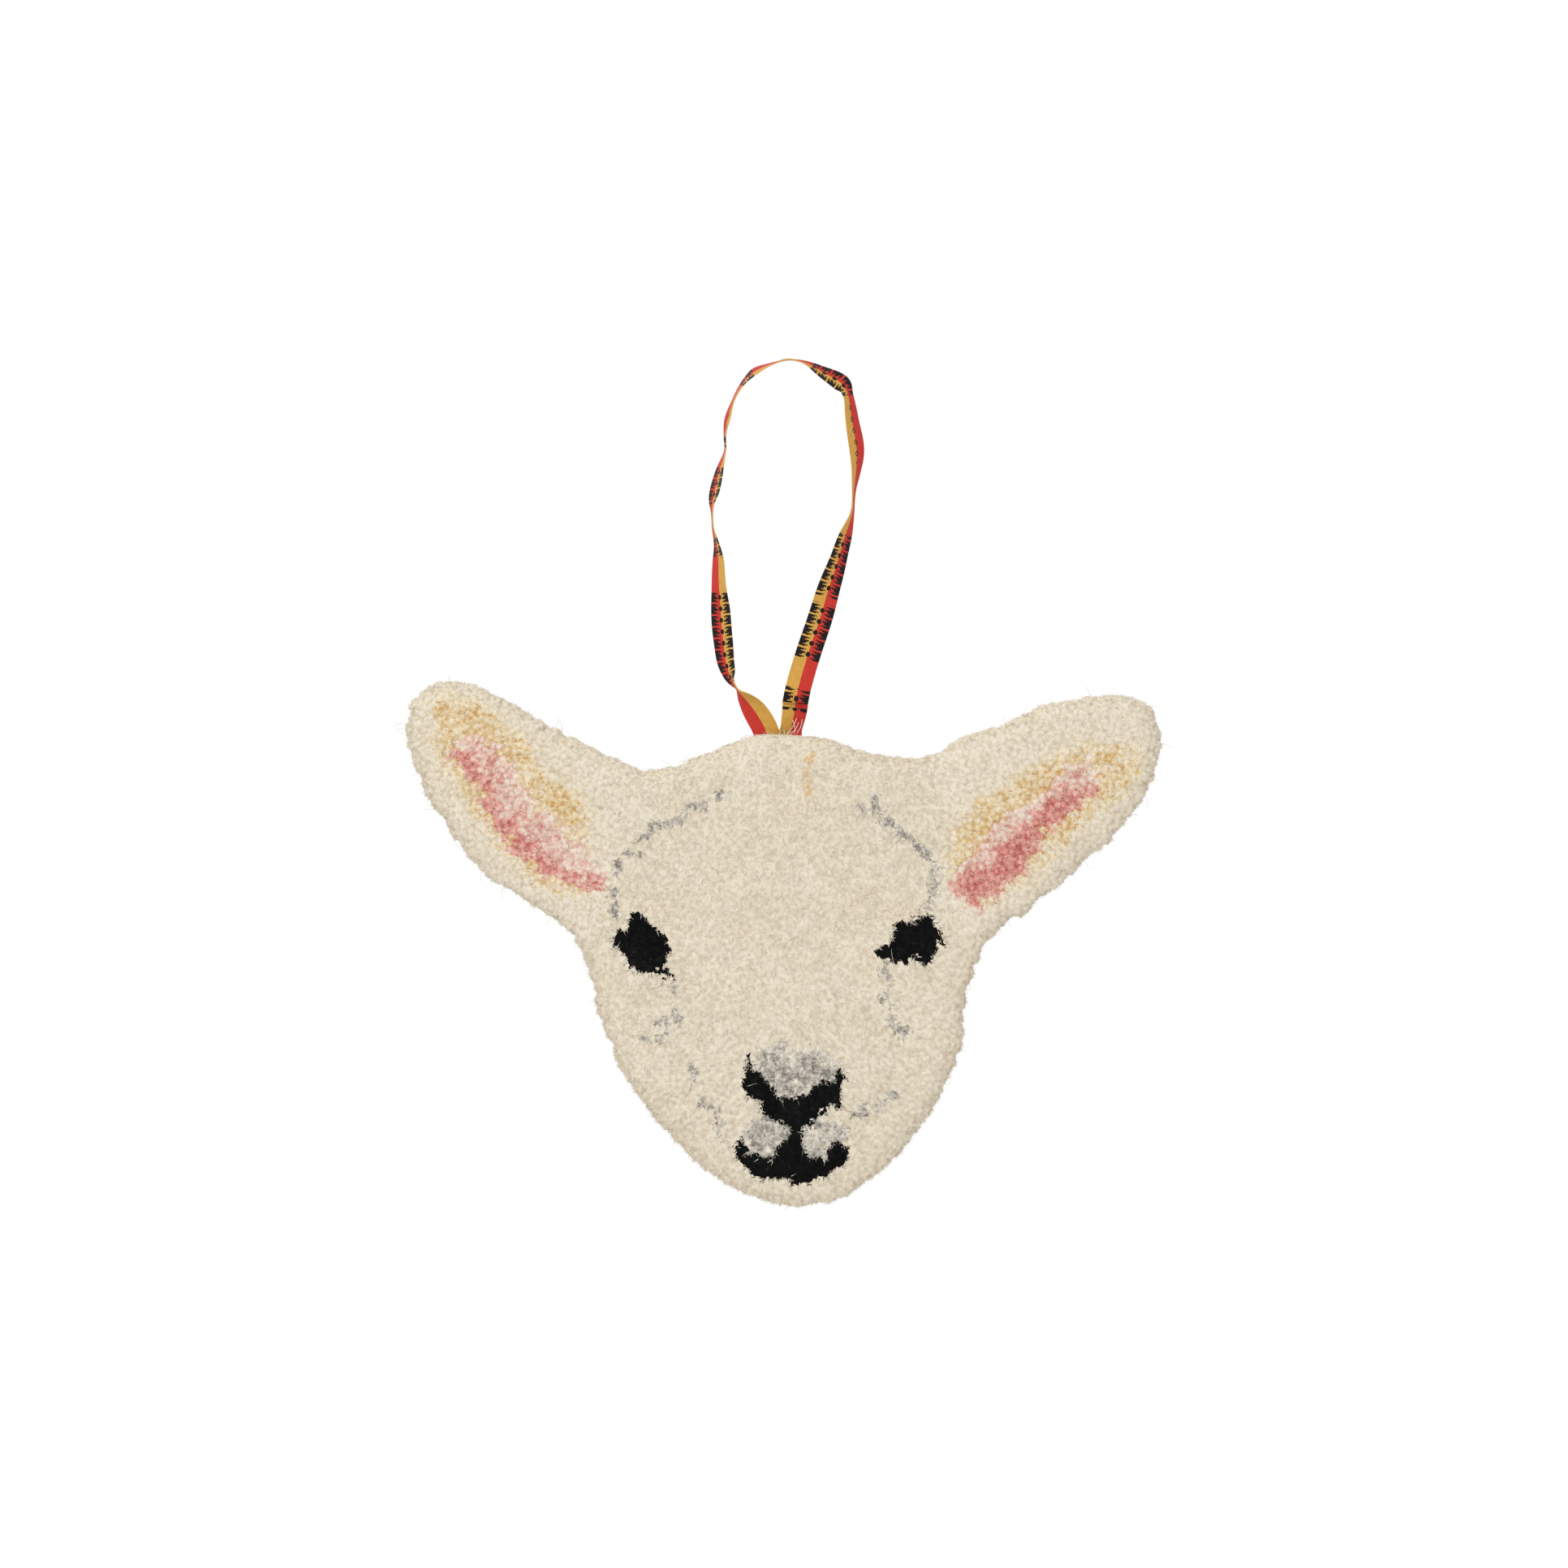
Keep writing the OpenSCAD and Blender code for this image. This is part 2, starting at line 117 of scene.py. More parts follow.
def put_mesh(name, points, faces, material, smooth=True):
    """A mesh object from points in millimetres and faces of one size; smooth is one flag or one a face."""
    points = np.asarray(points, float) * MM
    faces = np.asarray(faces, np.int32)
    corners = faces.shape[1]
    mesh = bpy.data.meshes.new(name)
    mesh.vertices.add(len(points))
    mesh.vertices.foreach_set("co", points.astype(np.float32).ravel())
    mesh.loops.add(faces.size)
    mesh.loops.foreach_set("vertex_index", faces.ravel())
    mesh.polygons.add(len(faces))
    mesh.polygons.foreach_set("loop_start", np.arange(len(faces), dtype=np.int32) * corners)
    mesh.polygons.foreach_set("use_smooth", np.array(np.broadcast_to(smooth, len(faces))))
    mesh.update(calc_edges=True)
    mesh.validate()
    mesh.materials.append(material)
    piece = bpy.data.objects.new(name, mesh)
    bpy.context.scene.collection.objects.link(piece)
    return piece


def put_attribute(piece, name, values):
    attribute = piece.data.attributes.new(name, "FLOAT", "POINT")
    attribute.data.foreach_set("value", np.asarray(values, np.float32))


def corner_points(mesh):
    """The point at each corner of each face."""
    corners = np.zeros(len(mesh.loops), np.int32)
    mesh.loops.foreach_get("vertex_index", corners)
    return corners


def put_uv(mesh, name, uv):
    """A UV layer from a place for each corner."""
    layer = mesh.uv_layers.new(name=name)
    layer.data.foreach_set("uv", uv.astype(np.float32).ravel())


def put_plan_uv(piece):
    """An unwrap seen from the front, which suits a pile whose tufts all face the same way."""
    mesh = piece.data
    points = np.zeros(len(mesh.vertices) * 3, np.float32)
    mesh.vertices.foreach_get("co", points)
    plan = points.reshape(-1, 3)[:, [0, 2]]
    low, high = plan.min(0), plan.max(0)
    plan = (plan - low) / np.maximum(high - low, 1e-6)
    put_uv(mesh, "OFBake", plan[corner_points(mesh)])


def stand_in(piece, node):
    """A piece that rides on the head and takes the place of one node."""
    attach(piece, "head")
    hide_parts(node)


def unit(v):
    return v / np.maximum(np.linalg.norm(v, axis=-1, keepdims=True), 1e-9)


def tube_faces(count, rings, sides, tipped):
    """Triangles of many tubes, each with its points ring by ring and, if tipped, one end point last."""
    each = rings * sides + (1 if tipped else 0)
    one = []
    for ring in range(rings - 1):
        for k in range(sides):
            a = ring * sides + k
            b = ring * sides + (k + 1) % sides
            one += [(a, b, b + sides), (a, b + sides, a + sides)]
    if tipped:
        last = (rings - 1) * sides
        one += [(last + k, last + (k + 1) % sides, rings * sides) for k in range(sides)]
    one = np.array(one, np.int32)
    return (one[None] + (np.arange(count, dtype=np.int32) * each)[:, None, None]).reshape(-1, 3)


def many_tubes(lines, radii, sides):
    """Points of many tubes that follow lines (count, rings, 3), ring by ring."""
    along = unit(np.gradient(lines, axis=1))
    helper = np.where(np.abs(along[..., 1:2]) < 0.9, [[[0.0, 1.0, 0.0]]], [[[1.0, 0.0, 0.0]]])
    across = unit(np.cross(along, helper))
    other = np.cross(along, across)
    angle = (np.arange(sides) * 2 * math.pi / sides)[None, None, :, None]
    ring = across[:, :, None] * np.cos(angle) + other[:, :, None] * np.sin(angle)
    return lines[:, :, None] + ring * radii[:, :, None, None]


# ---------------------------------------------------------------- materials


def ramp_node(tree, stops, interpolation="LINEAR"):
    node = tree.nodes.new("ShaderNodeValToRGB")
    node.color_ramp.interpolation = interpolation
    elements = node.color_ramp.elements
    while len(elements) > 1:
        elements.remove(elements[-1])
    elements[0].position, elements[0].color = stops[0][0], (*stops[0][1], 1)
    for position, colour in stops[1:]:
        element = elements.new(position)
        element.color = (*colour, 1)
    return node


def new_material(name, roughness, sheen=0.0, sheen_roughness=0.5):
    material = bpy.data.materials.new(name)
    material.use_nodes = True
    tree = material.node_tree
    shader = tree.nodes["Principled BSDF"]
    shader.inputs["Roughness"].default_value = roughness
    shader.inputs["Sheen Weight"].default_value = sheen
    shader.inputs["Sheen Roughness"].default_value = sheen_roughness
    shader.inputs["Specular IOR Level"].default_value = 0.2
    return material, tree, shader


def feed(tree, socket, value):
    """Links a socket to another one, or gives it a number or a colour."""
    if isinstance(value, bpy.types.NodeSocket):
        tree.links.new(value, socket)
    elif isinstance(value, tuple):
        socket.default_value = (*value, 1)
    else:
        socket.default_value = value


def math_node(tree, operation, *values):
    node = tree.nodes.new("ShaderNodeMath")
    node.operation = operation
    for socket, value in zip(node.inputs, values):
        feed(tree, socket, value)
    return node.outputs[0]


def mix_colour(tree, factor, first, second):
    node = tree.nodes.new("ShaderNodeMix")
    node.data_type = "RGBA"
    enabled = [s for s in node.inputs if s.enabled]
    for socket, value in zip(enabled, (factor, first, second)):
        feed(tree, socket, value)
    return next(s for s in node.outputs if s.enabled)


def put_colour(tree, shader, factor, first, second):
    """Base colour between two colours."""
    tree.links.new(mix_colour(tree, factor, first, second), shader.inputs["Base Color"])


def noise_node(tree, scale, detail=2.0, roughness=0.5, distortion=0.0):
    """Noise over the piece's own place; scale is in cycles a metre."""
    coordinates = tree.nodes.new("ShaderNodeTexCoord")
    node = tree.nodes.new("ShaderNodeTexNoise")
    node.inputs["Scale"].default_value = scale
    node.inputs["Detail"].default_value = detail
    node.inputs["Roughness"].default_value = roughness
    node.inputs["Distortion"].default_value = distortion
    tree.links.new(coordinates.outputs["Object"], node.inputs["Vector"])
    return node.outputs["Fac"]


def add_bump(tree, shader, height, strength, distance):
    bump = tree.nodes.new("ShaderNodeBump")
    bump.inputs["Strength"].default_value = strength
    bump.inputs["Distance"].default_value = distance
    tree.links.new(height, bump.inputs["Height"])
    tree.links.new(bump.outputs["Normal"], shader.inputs["Normal"])


def wool_material(name):
    """Dyed wool: each fibre takes its own tone, and the dye drifts slowly over the piece. The tone also
    carries painted shade between the tufts and towards the rim.
    """
    material, tree, shader = new_material(name, 0.95, sheen=0.25, sheen_roughness=0.4)
    calc = partial(math_node, tree)
    tone = tree.nodes.new("ShaderNodeAttribute")
    tone.attribute_name = "tone"
    drift = noise_node(tree, 90, detail=4, roughness=0.6)
    grain = noise_node(tree, 1900, detail=3, roughness=0.7, distortion=0.8)
    reach = 0.8 if name == "ivory_wool" else 1.2
    mixed = calc("ADD", tone.outputs["Fac"], calc("MULTIPLY_ADD", drift, 0.6, -0.3))
    mixed = calc("ADD", mixed, calc("MULTIPLY_ADD", grain, reach, -reach / 2))
    colours = [darker(c, WOOL_SHADE) for c in WOOLS[name]]
    ramp = ramp_node(tree, list(zip(WOOL_STOPS, colours)))
    tree.links.new(mixed, ramp.inputs["Fac"])
    tree.links.new(ramp.outputs["Color"], shader.inputs["Base Color"])
    add_bump(tree, shader, grain, 0.5, 0.0001)
    if name == "black_wool":
        shader.inputs["Sheen Weight"].default_value = 0.04
        shader.inputs["Specular IOR Level"].default_value = 0.1
    return material


def weave_height(tree, pitch):
    """Height of a plain weave whose threads run along X and Z, pitch metres apart."""
    calc = partial(math_node, tree)
    coordinates = tree.nodes.new("ShaderNodeTexCoord")
    place = tree.nodes.new("ShaderNodeSeparateXYZ")
    tree.links.new(coordinates.outputs["Object"], place.inputs[0])
    x, z = (calc("SINE", calc("MULTIPLY", place.outputs[axis], math.pi / pitch)) for axis in "XZ")
    over = calc("MULTIPLY", x, z)
    ribs = calc("ADD", calc("ABSOLUTE", x), calc("ABSOLUTE", z))
    return calc("ADD", calc("ABSOLUTE", over), calc("MULTIPLY", ribs, 0.4))


def cotton_material(name, colour, pitch):
    material, tree, shader = new_material(name, 0.9, sheen=0.15)
    height = weave_height(tree, pitch)
    slub = noise_node(tree, 420, detail=4)
    # Painted shade: the weave's raised threads are lighter and the hollows between them darker; the slubs are
    # the yarn's own unevenness
    shade = math_node(tree, "MULTIPLY_ADD", slub, 0.5, math_node(tree, "MULTIPLY", height, 0.35))
    put_colour(tree, shader, shade, darker(colour, 0.74), linear(*colour))
    add_bump(tree, shader, height, 0.8, 0.0002)
    return material


def mottled_material(name, colour, shade, roughness, sheen, scale, detail, strength, distance):
    """A material that varies between its colour and a darker shade of it, with lumps to match."""
    material, tree, shader = new_material(name, roughness, sheen)
    lumps = noise_node(tree, scale, detail)
    put_colour(tree, shader, lumps, darker(colour, shade), linear(*colour))
    add_bump(tree, shader, lumps, strength, distance)
    return material


def thread_material():
    return mottled_material("sewing_thread", THREAD, 0.78, 0.75, 0.2, 2600, 2, 0.4, 0.0001)


def latex_material():
    return mottled_material("dried_latex", LATEX, 0.8, 0.5, 0.0, 260, 4, 0.6, 0.0004)


# Stretches of each strand that carry the black woven figure, and those with small diamonds, by height
FIGURED = {
    "left": [(-75.5, -54.5), (-46.5, -42), (-34, -25), (-20.5, -18.5), (-6, -3)],
    "right": [(-1.2, -7.6), (-40.4, -54.5), (-56, -69.3), (-76.6, -79.6), (-80.6, -82)],
}
DIAMONDS = {"left": [(-16.5, -11)], "right": [(-9.5, -23.5), (-31, -33)]}
FIGURE_PITCH = 2.7
THREAD_PITCH = 0.9
DOT_SIZE = (4.6, 5.2)
DIAMOND_SIZE = (0.8, 0.7)
WARP_THREADS = 22
RIB_PITCH = 0.32
HALF_W = 3.0


def stretch_factor(tree, along, length, stretches):
    """1 inside the stretches of the ribbon and 0 outside."""
    stops = [(0.0, (0, 0, 0))]
    for start, end in sorted(stretches):
        stops += [(start / length, (1, 1, 1)), (end / length, (0, 0, 0))]
    node = ramp_node(tree, stops, "CONSTANT")
    tree.links.new(along, node.inputs["Fac"])
    return node.outputs["Color"]


def ribbon_figure(calc, along, out, length):
    """The black figure of blocks and dots, 1 in the ink, and the distance from the middle of each cell."""
    cell = calc("FRACT", calc("MULTIPLY", along, length / FIGURE_PITCH))
    centred = calc("ABSOLUTE", calc("SUBTRACT", cell, 0.5))
    thread = calc("FRACT", calc("MULTIPLY", along, length / THREAD_PITCH))
    ragged = calc("MULTIPLY_ADD", calc("GREATER_THAN", thread, 0.5), 0.2, 0.26)
    block = calc("MULTIPLY", calc("LESS_THAN", centred, 0.42), calc("GREATER_THAN", out, ragged))
    from_slit = calc("ABSOLUTE", calc("SUBTRACT", centred, 0.2))
    slit = calc("MULTIPLY", calc("LESS_THAN", from_slit, 0.03), calc("LESS_THAN", out, 0.66))
    block = calc("MULTIPLY", block, calc("SUBTRACT", 1, slit))
    sizes = zip((centred, out), DOT_SIZE)
    squares = [calc("POWER", calc("MULTIPLY", place, size), 2) for place, size in sizes]
    dot = calc("LESS_THAN", calc("ADD", *squares), 1)
    return calc("MAXIMUM", block, dot), centred


def diamond_figure(calc, centred, out):
    """Open diamonds, one in each cell."""
    long_way = calc("MULTIPLY", centred, FIGURE_PITCH / DIAMOND_SIZE[0])
    reach = calc("ADD", long_way, calc("MULTIPLY", out, HALF_W / DIAMOND_SIZE[1]))
    return calc("MULTIPLY", calc("LESS_THAN", reach, 1), calc("GREATER_THAN", reach, 0.5))


def ribbon_material(length, figured, diamonds):
    """Two-colour woven ribbon with a black figure; its UV is the distance along and across."""
    material, tree, shader = new_material("two_colour_ribbon", 0.8)
    calc = partial(math_node, tree)
    uv = tree.nodes.new("ShaderNodeUVMap")
    uv.uv_map = "Along"
    place = tree.nodes.new("ShaderNodeSeparateXYZ")
    tree.links.new(uv.outputs["UV"], place.inputs[0])
    along, across = place.outputs["X"], place.outputs["Y"]
    side = calc("SUBTRACT", across, 0.5)
    out = calc("MULTIPLY", calc("ABSOLUTE", side), 2)
    figure, centred = ribbon_figure(calc, along, out, length)
    figure = calc("MULTIPLY", figure, stretch_factor(tree, along, length, figured))
    diamond = diamond_figure(calc, centred, out)
    diamond = calc("MULTIPLY", diamond, stretch_factor(tree, along, length, diamonds))
    ink = calc("MAXIMUM", figure, diamond)

    ground = mix_colour(tree, calc("GREATER_THAN", side, 0.0), linear(*RED), linear(*GOLD))
    # Painted shade: each rib of the weave is lighter on its crest and darker in its groove; drift is the
    # yarn's own unevenness
    rib = calc("SINE", calc("MULTIPLY", along, length / RIB_PITCH * 2 * math.pi))
    lit = calc("MULTIPLY_ADD", rib, 0.06, 0.94)
    drift = calc("MULTIPLY_ADD", noise_node(tree, 900, detail=3), 0.3, -0.15)
    tinted = tree.nodes.new("ShaderNodeHueSaturation")
    tree.links.new(mix_colour(tree, ink, ground, linear(*INK)), tinted.inputs["Color"])
    tree.links.new(calc("ADD", lit, drift), tinted.inputs["Value"])
    tree.links.new(tinted.outputs["Color"], shader.inputs["Base Color"])
    threads = calc("SINE", calc("MULTIPLY", across, 2 * math.pi * WARP_THREADS))
    height = calc("MULTIPLY_ADD", threads, 0.4, calc("MULTIPLY_ADD", ink, 0.8, rib))
    add_bump(tree, shader, height, 0.5, 0.00006)
    return material


# ---------------------------------------------------------------- camera, light and floor

VIEW_MM = 364.5
LENS = 150
SENSOR = 36
VIEW_CENTRE = Vector((0.2, 0.0, -99.0)) * MM


def make_camera():
    data = bpy.data.cameras.new("camera")
    data.lens = LENS
    data.sensor_width = SENSOR
    data.clip_start, data.clip_end = 0.05, 20
    camera = bpy.data.objects.new("camera", data)
    distance = VIEW_MM * MM * LENS / SENSOR
    camera.location = VIEW_CENTRE + Vector((0, FRONT_Y * MM - distance, 0))
    camera.rotation_euler = (math.pi / 2, 0, 0)
    bpy.context.scene.collection.objects.link(camera)
    bpy.context.scene.camera = camera


def make_light(name, place, size, power):
    data = bpy.data.lights.new(name, "AREA")
    data.shape = "DISK"
    data.size = size
    data.energy = power
    light = bpy.data.objects.new(name, data)
    light.location = place
    light.rotation_mode = "QUATERNION"
    light.rotation_quaternion = (VIEW_CENTRE - Vector(place)).to_track_quat("-Z", "Y")
    bpy.context.scene.collection.objects.link(light)


def make_studio():
    world = bpy.data.worlds.new("white_studio")
    world.use_nodes = True
    background = world.node_tree.nodes["Background"]
    background.inputs["Color"].default_value = (1, 1, 1, 1)
    background.inputs["Strength"].default_value = 1.0
    bpy.context.scene.world = world
    make_light("key", (-0.45, -0.95, 0.65), 0.5, 6.7)
    make_light("fill", (0.7, -1.0, 0.2), 0.8, 0.6)
    make_light("back", (-0.5, 0.9, 0.5), 0.8, 4.0)
    bpy.context.scene.view_settings.view_transform = "Standard"
    bpy.context.scene.view_settings.look = "None"


def make_floor():
    floor_z = -320
    radius = 350
    sides = 96
    angle = np.arange(sides) * 2 * math.pi / sides
    rim = np.stack([radius * np.cos(angle), radius * np.sin(angle), np.full(sides, floor_z)], 1)
    points = np.vstack([rim, [[0, 0, floor_z]]])
    faces = [(k, (k + 1) % sides, sides) for k in range(sides)]
    material, tree, shader = new_material("pale_floor", 0.9)
    grain = noise_node(tree, 60, detail=3)
    put_colour(tree, shader, grain, linear(247, 247, 246), linear(252, 252, 252))
    floor = put_mesh("floor", points, faces, material, smooth=False)


# ---------------------------------------------------------------- ribbon

RIBBON_W = 6.0
RIBBON_T = 0.28
RIBBON_STRIPS = 14
UV_ROWS = 6
RIBBON_ROUTE = [
    (-2.8, 0, -91.5, 0), (-3.3, 0, -89, 0), (-3.9, 0, -87, 3), (-4.7, 0, -85.1, 8),
    (-5.9, 0, -83.1, 16), (-7.3, 0, -81.1, 32), (-9.1, 0, -78.8, 60), (-10.9, 0, -76.4, 88),
    (-12.4, 0.5, -73.5, 62), (-13.5, 0.5, -70, 48), (-14, 0.5, -65, 42), (-14.5, 0.5, -59, 42),
    (-15, 0, -53, 56), (-15, 0, -47, 64), (-15.5, 0, -43, 78), (-16.5, 0, -39, 88),
    (-16.5, 0, -35, 86), (-16, 0.5, -31, 68), (-15, 1, -26, 72), (-13.5, 1, -21, 87),
    (-13.5, 1, -17.5, 86), (-13, 1, -13.5, 77), (-11.5, 0.5, -9, 84), (-9, 0.5, -5, 79),
    (-6.5, 0, -2.5, 72), (-3, 0, -0.8, 82), (1, 0, 0.2, 88), (5, 0, -0.5, 80),
    (9, 0, -2.5, 62), (13.4, 0, -5.2, 46), (15, 0, -8, 66), (16, 0, -13, 60),
    (17, 0, -20, 54), (17, 0, -26, 70), (16.5, 0.5, -31, 83), (16, 0.5, -35.5, 82),
    (14.5, 0.5, -41, 60), (13, 0.5, -46, 50), (11, 0, -52, 33), (9, 0, -59, 18),
    (6.5, 0, -66.5, 12), (4.5, 0, -73, 10), (3.4, -0.4, -77, 8), (2.9, -0.6, -79.6, 4),
    (2.8, 0.2, -80.5, 8), (2.6, 0.1, -82.3, 18), (2.2, 0, -84.4, 28), (1.8, 0, -86.4, 32),
    (1.5, 0, -88.6, 8), (1.4, 0, -91.5, 0),
]  # fmt: skip
ROUTE_STEPS = 10
SPLIT_Z = -84.45
PLEAT_Z = -78.4


def smooth_route(points, steps):
    """A smooth curve through the points, in this many steps from each one to the next."""
    points = np.array(points, float)
    last = len(points) - 1
    line = []
    for i in range(last):
        a, b, c, d = (points[min(max(k, 0), last)] for k in (i - 1, i, i + 1, i + 2))
        for t in np.arange(steps) / steps:
            square = (2 * a - 5 * b + 4 * c - d) * t**2
            cube = (3 * b - a - 3 * c + d) * t**3
            line.append(0.5 * (2 * b + (c - a) * t + square + cube))
    return np.array(line + [points[last]])


def ribbon_frames(route):
    """Place, width direction and face direction at each point of a route with turns."""
    place = route[:, :3]
    forward = unit(np.gradient(place, axis=0))
    across = unit(np.cross(forward, [0.0, -1.0, 0.0]))
    facing = np.cross(across, forward)
    turn = np.radians(route[:, 3:4])
    width = np.cos(turn) * across + np.sin(turn) * facing
    face = np.cos(turn) * facing - np.sin(turn) * across
    return place, width, face


def ribbon_strip(name, line, run, length, material):
    """A closed thin woven strip; run is the distance along the ribbon at each place."""
    place, width, face = line
    v = np.linspace(-1, 1, RIBBON_STRIPS + 1)
    selvedge = 0.05 * np.exp(-(((np.abs(v) - 0.94) / 0.05) ** 2))
    thick = RIBBON_T / 2 * (1 - 0.5 * np.abs(v) ** 6) + selvedge
    side_v = np.concatenate([v, v[::-1]])
    side_n = np.concatenate([thick, -thick[::-1]])
    cup = 0.18 * (side_v**2 - 0.4)[None] + 0.10 * np.sin(run / 2.3)[:, None]
    lift = side_n[None] + cup + pleat_lift(place, side_v)
    wide = width[:, None] * (side_v * RIBBON_W / 2)[None, :, None]
    points = place[:, None] + wide + face[:, None] * lift[..., None]
    loop = len(side_v)
    last = (len(place) - 1) * loop
    faces = []
    for start in range(0, last, loop):
        for k in range(loop):
            a, b = start + k, start + (k + 1) % loop
            faces.append((a, b, b + loop, a + loop))
    cap = [(k, k + 1, loop - 2 - k, loop - 1 - k) for k in range(RIBBON_STRIPS)]
    faces += [tuple(reversed(c)) for c in cap]
    faces += [tuple(last + k for k in c) for c in cap]
    piece = put_mesh(name, points.reshape(-1, 3), faces, material)
    piece.data.set_sharp_from_angle(angle=math.radians(40))
    strip_uv(piece.data, side_v, run, length)
    return piece


def pleat_lift(place, v):
    """Gathers of the tuck on the right strand, which run together towards its outer edge."""
    on_right = (place[:, 0] > 0)[:, None]
    below = place[:, 2:3] - PLEAT_Z
    fan = below * (1 + 0.45 * v[None])
    folds = np.sin(fan * 2 * math.pi / 1.15)
    ledge = 1 / (1 + np.exp(-(below + 1.6) / 0.12))
    envelope = np.exp(-((below / 1.7) ** 2)) * np.clip(1.15 - np.abs(v[None] + 0.1), 0, 1)
    return on_right * envelope * ledge * (0.3 * folds + 0.75)


def strip_uv(mesh, side_v, run, length):
    """One UV that measures the ribbon, and one that stacks it in rows for its picture."""
    loop, steps = len(side_v), len(run) - 1
    corners = corner_points(mesh)
    ring = np.minimum(corners // loop, steps)
    across = 0.5 + side_v[corners % loop] / 2
    put_uv(mesh, "Along", np.stack([run[ring] / length, across], 1))
    face_ring = ring.reshape(-1, 4).min(1).repeat(4)
    row = np.minimum(face_ring * UV_ROWS // max(steps, 1), UV_ROWS - 1)
    first = row * steps / UV_ROWS
    u = np.clip((ring - first) / max(steps / UV_ROWS, 1) * 0.97, 0, 1)
    put_uv(mesh, "OFBake", np.stack([u, (row + 0.05 + 0.9 * across) / UV_ROWS], 1))


def run_at(place, run, strand, height):
    """Distance along the ribbon where a strand passes a height."""
    top = place[:, 2].argmax()
    mine = slice(0, top) if strand == "left" else slice(top, None)
    return float(run[mine][np.abs(place[mine][:, 2] - height).argmin()])


def table_runs(place, run, table):
    """The stretches of a table, by their distance along the ribbon."""
    pairs = [(strand, pair) for strand in table for pair in table[strand]]
    return [tuple(sorted(run_at(place, run, strand, z) for z in pair)) for strand, pair in pairs]


def bend_at_crown(piece):
    """Bakes a piece's placement into its points."""
    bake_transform(piece)


def make_ribbon():
    """The ribbon in three pieces: its two feet, and the loop between them."""
    place, width, face = ribbon_frames(smooth_route(RIBBON_ROUTE, ROUTE_STEPS))
    run = line_run(place)
    length = run[-1]
    stretches = [table_runs(place, run, table) for table in (FIGURED, DIAMONDS)]
    material = ribbon_material(length, *stretches)
    top = place[:, 2].argmax()
    first = int(np.abs(place[:top, 2] - SPLIT_Z).argmin())
    last = top + int(np.abs(place[top:, 2] - SPLIT_Z).argmin())
    names = ("ribbon_foot_left", "ribbon_loop_woven", "ribbon_foot_right")
    cuts = (0, first, last, len(run) - 1)
    pieces = []
    for name, start, end in zip(names, cuts, cuts[1:]):
        part = slice(start, end + 1)
        pieces.append(ribbon_strip(name, (place[part], width[part], face[part]), run[part], length, material))
    left, loop, right = pieces
    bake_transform(loop)
    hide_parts("ribbon_loop")
    for piece, side in ((left, "left"), (right, "right")):
        bend_at_crown(piece)
        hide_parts(f"ribbon_root_{side}", f"ribbon_end_{side}")


# ---------------------------------------------------------------- outlines read from the frame


def back_outline(node):
    """The rim of a flat node's back face: a loop of (x, z) with its inside on the left from the front."""
    mesh = frame["nodes"][node].data
    points = np.array([v.co for v in mesh.vertices]) / MM
    back = points[:, 1].max()
    key = {}
    ids = []
    for p in points:
        ids.append(key.setdefault((round(p[0], 3), round(p[2], 3), round(p[1], 3)), len(key)))
    place = {i: (k[0], k[1]) for k, i in key.items()}
    edges = {}
    for polygon in mesh.polygons:
        if all(abs(points[v][1] - back) < 1e-3 for v in polygon.vertices):
            loop = [ids[v] for v in polygon.vertices]
            for a, b in zip(loop, loop[1:] + loop[:1]):
                if (b, a) in edges:
                    del edges[(b, a)]
                else:
                    edges[(a, b)] = True
    follow = {a: b for a, b in edges}
    start = next(iter(follow))
    line = [start]
    while follow[line[-1]] != start:
        line.append(follow[line[-1]])
    loop = np.array([place[i] for i in line])
    area = np.sum(loop[:, 0] * np.roll(loop[:, 1], -1) - np.roll(loop[:, 0], -1) * loop[:, 1])
    return loop if area > 0 else loop[::-1].copy()


def loop_normals(loop):
    """Outward direction at each point of a loop."""
    along = np.roll(loop, -1, 0) - np.roll(loop, 1, 0)
    return unit(np.stack([along[:, 1], -along[:, 0]], 1))


def line_run(line):
    """Distance along a line at each of its points."""
    return np.concatenate([[0], np.cumsum(np.linalg.norm(np.diff(line, axis=0), axis=1))])


def closed_line(loop):
    return np.vstack([loop, loop[:1]])


def resample(loop, pitch):
    """The loop at equal steps of about pitch."""
    closed = closed_line(loop)
    run = line_run(closed)
    count = int(round(run[-1] / pitch))
    at = np.arange(count) * run[-1] / count
    return np.stack([np.interp(at, run, closed[:, 0]), np.interp(at, run, closed[:, 1])], 1)


def smooth_normals(loop, rounds=4):
    outward = loop_normals(loop)
    for _ in range(rounds):
        outward = unit(np.roll(outward, 1, 0) + outward * 2 + np.roll(outward, -1, 0))
    return outward


def lifted(plan, y):
    """Points over places (x, z), at depth y."""
    return np.stack([plan[:, 0], np.broadcast_to(y, len(plan)), plan[:, 1]], 1)


def nearest_on_loop(points, loop):
    """Distance to the loop and the direction from it for each point."""
    a, b = loop, np.roll(loop, -1, 0)
    ab = b - a
    best = np.full(len(points), 1e9)
    away = np.zeros((len(points), 2))
    for start in range(0, len(points), 4000):
        p = points[start : start + 4000, None]
        t = np.clip(((p - a) * ab).sum(-1) / (ab**2).sum(-1), 0, 1)
        foot = a + t[..., None] * ab
        gap = np.linalg.norm(p - foot, axis=-1)
        k = gap.argmin(1)
        rows = np.arange(len(k))
        best[start : start + 4000] = gap[rows, k]
        away[start : start + 4000] = foot[rows, k] - p[:, 0]
    return best, unit(away)


def inside_loop(points, loop):
    """Whether each point is inside a closed loop."""
    x, z = points[:, 0], points[:, 1]
    inside = np.zeros(len(points), bool)
    for (ax, az), (bx, bz) in zip(loop, np.roll(loop, -1, 0)):
        crosses = (az > z) != (bz > z)
        where = ax + (z - az) * (bx - ax) / (bz - az if bz != az else 1e-9)
        inside ^= crosses & (x < where)
    return inside


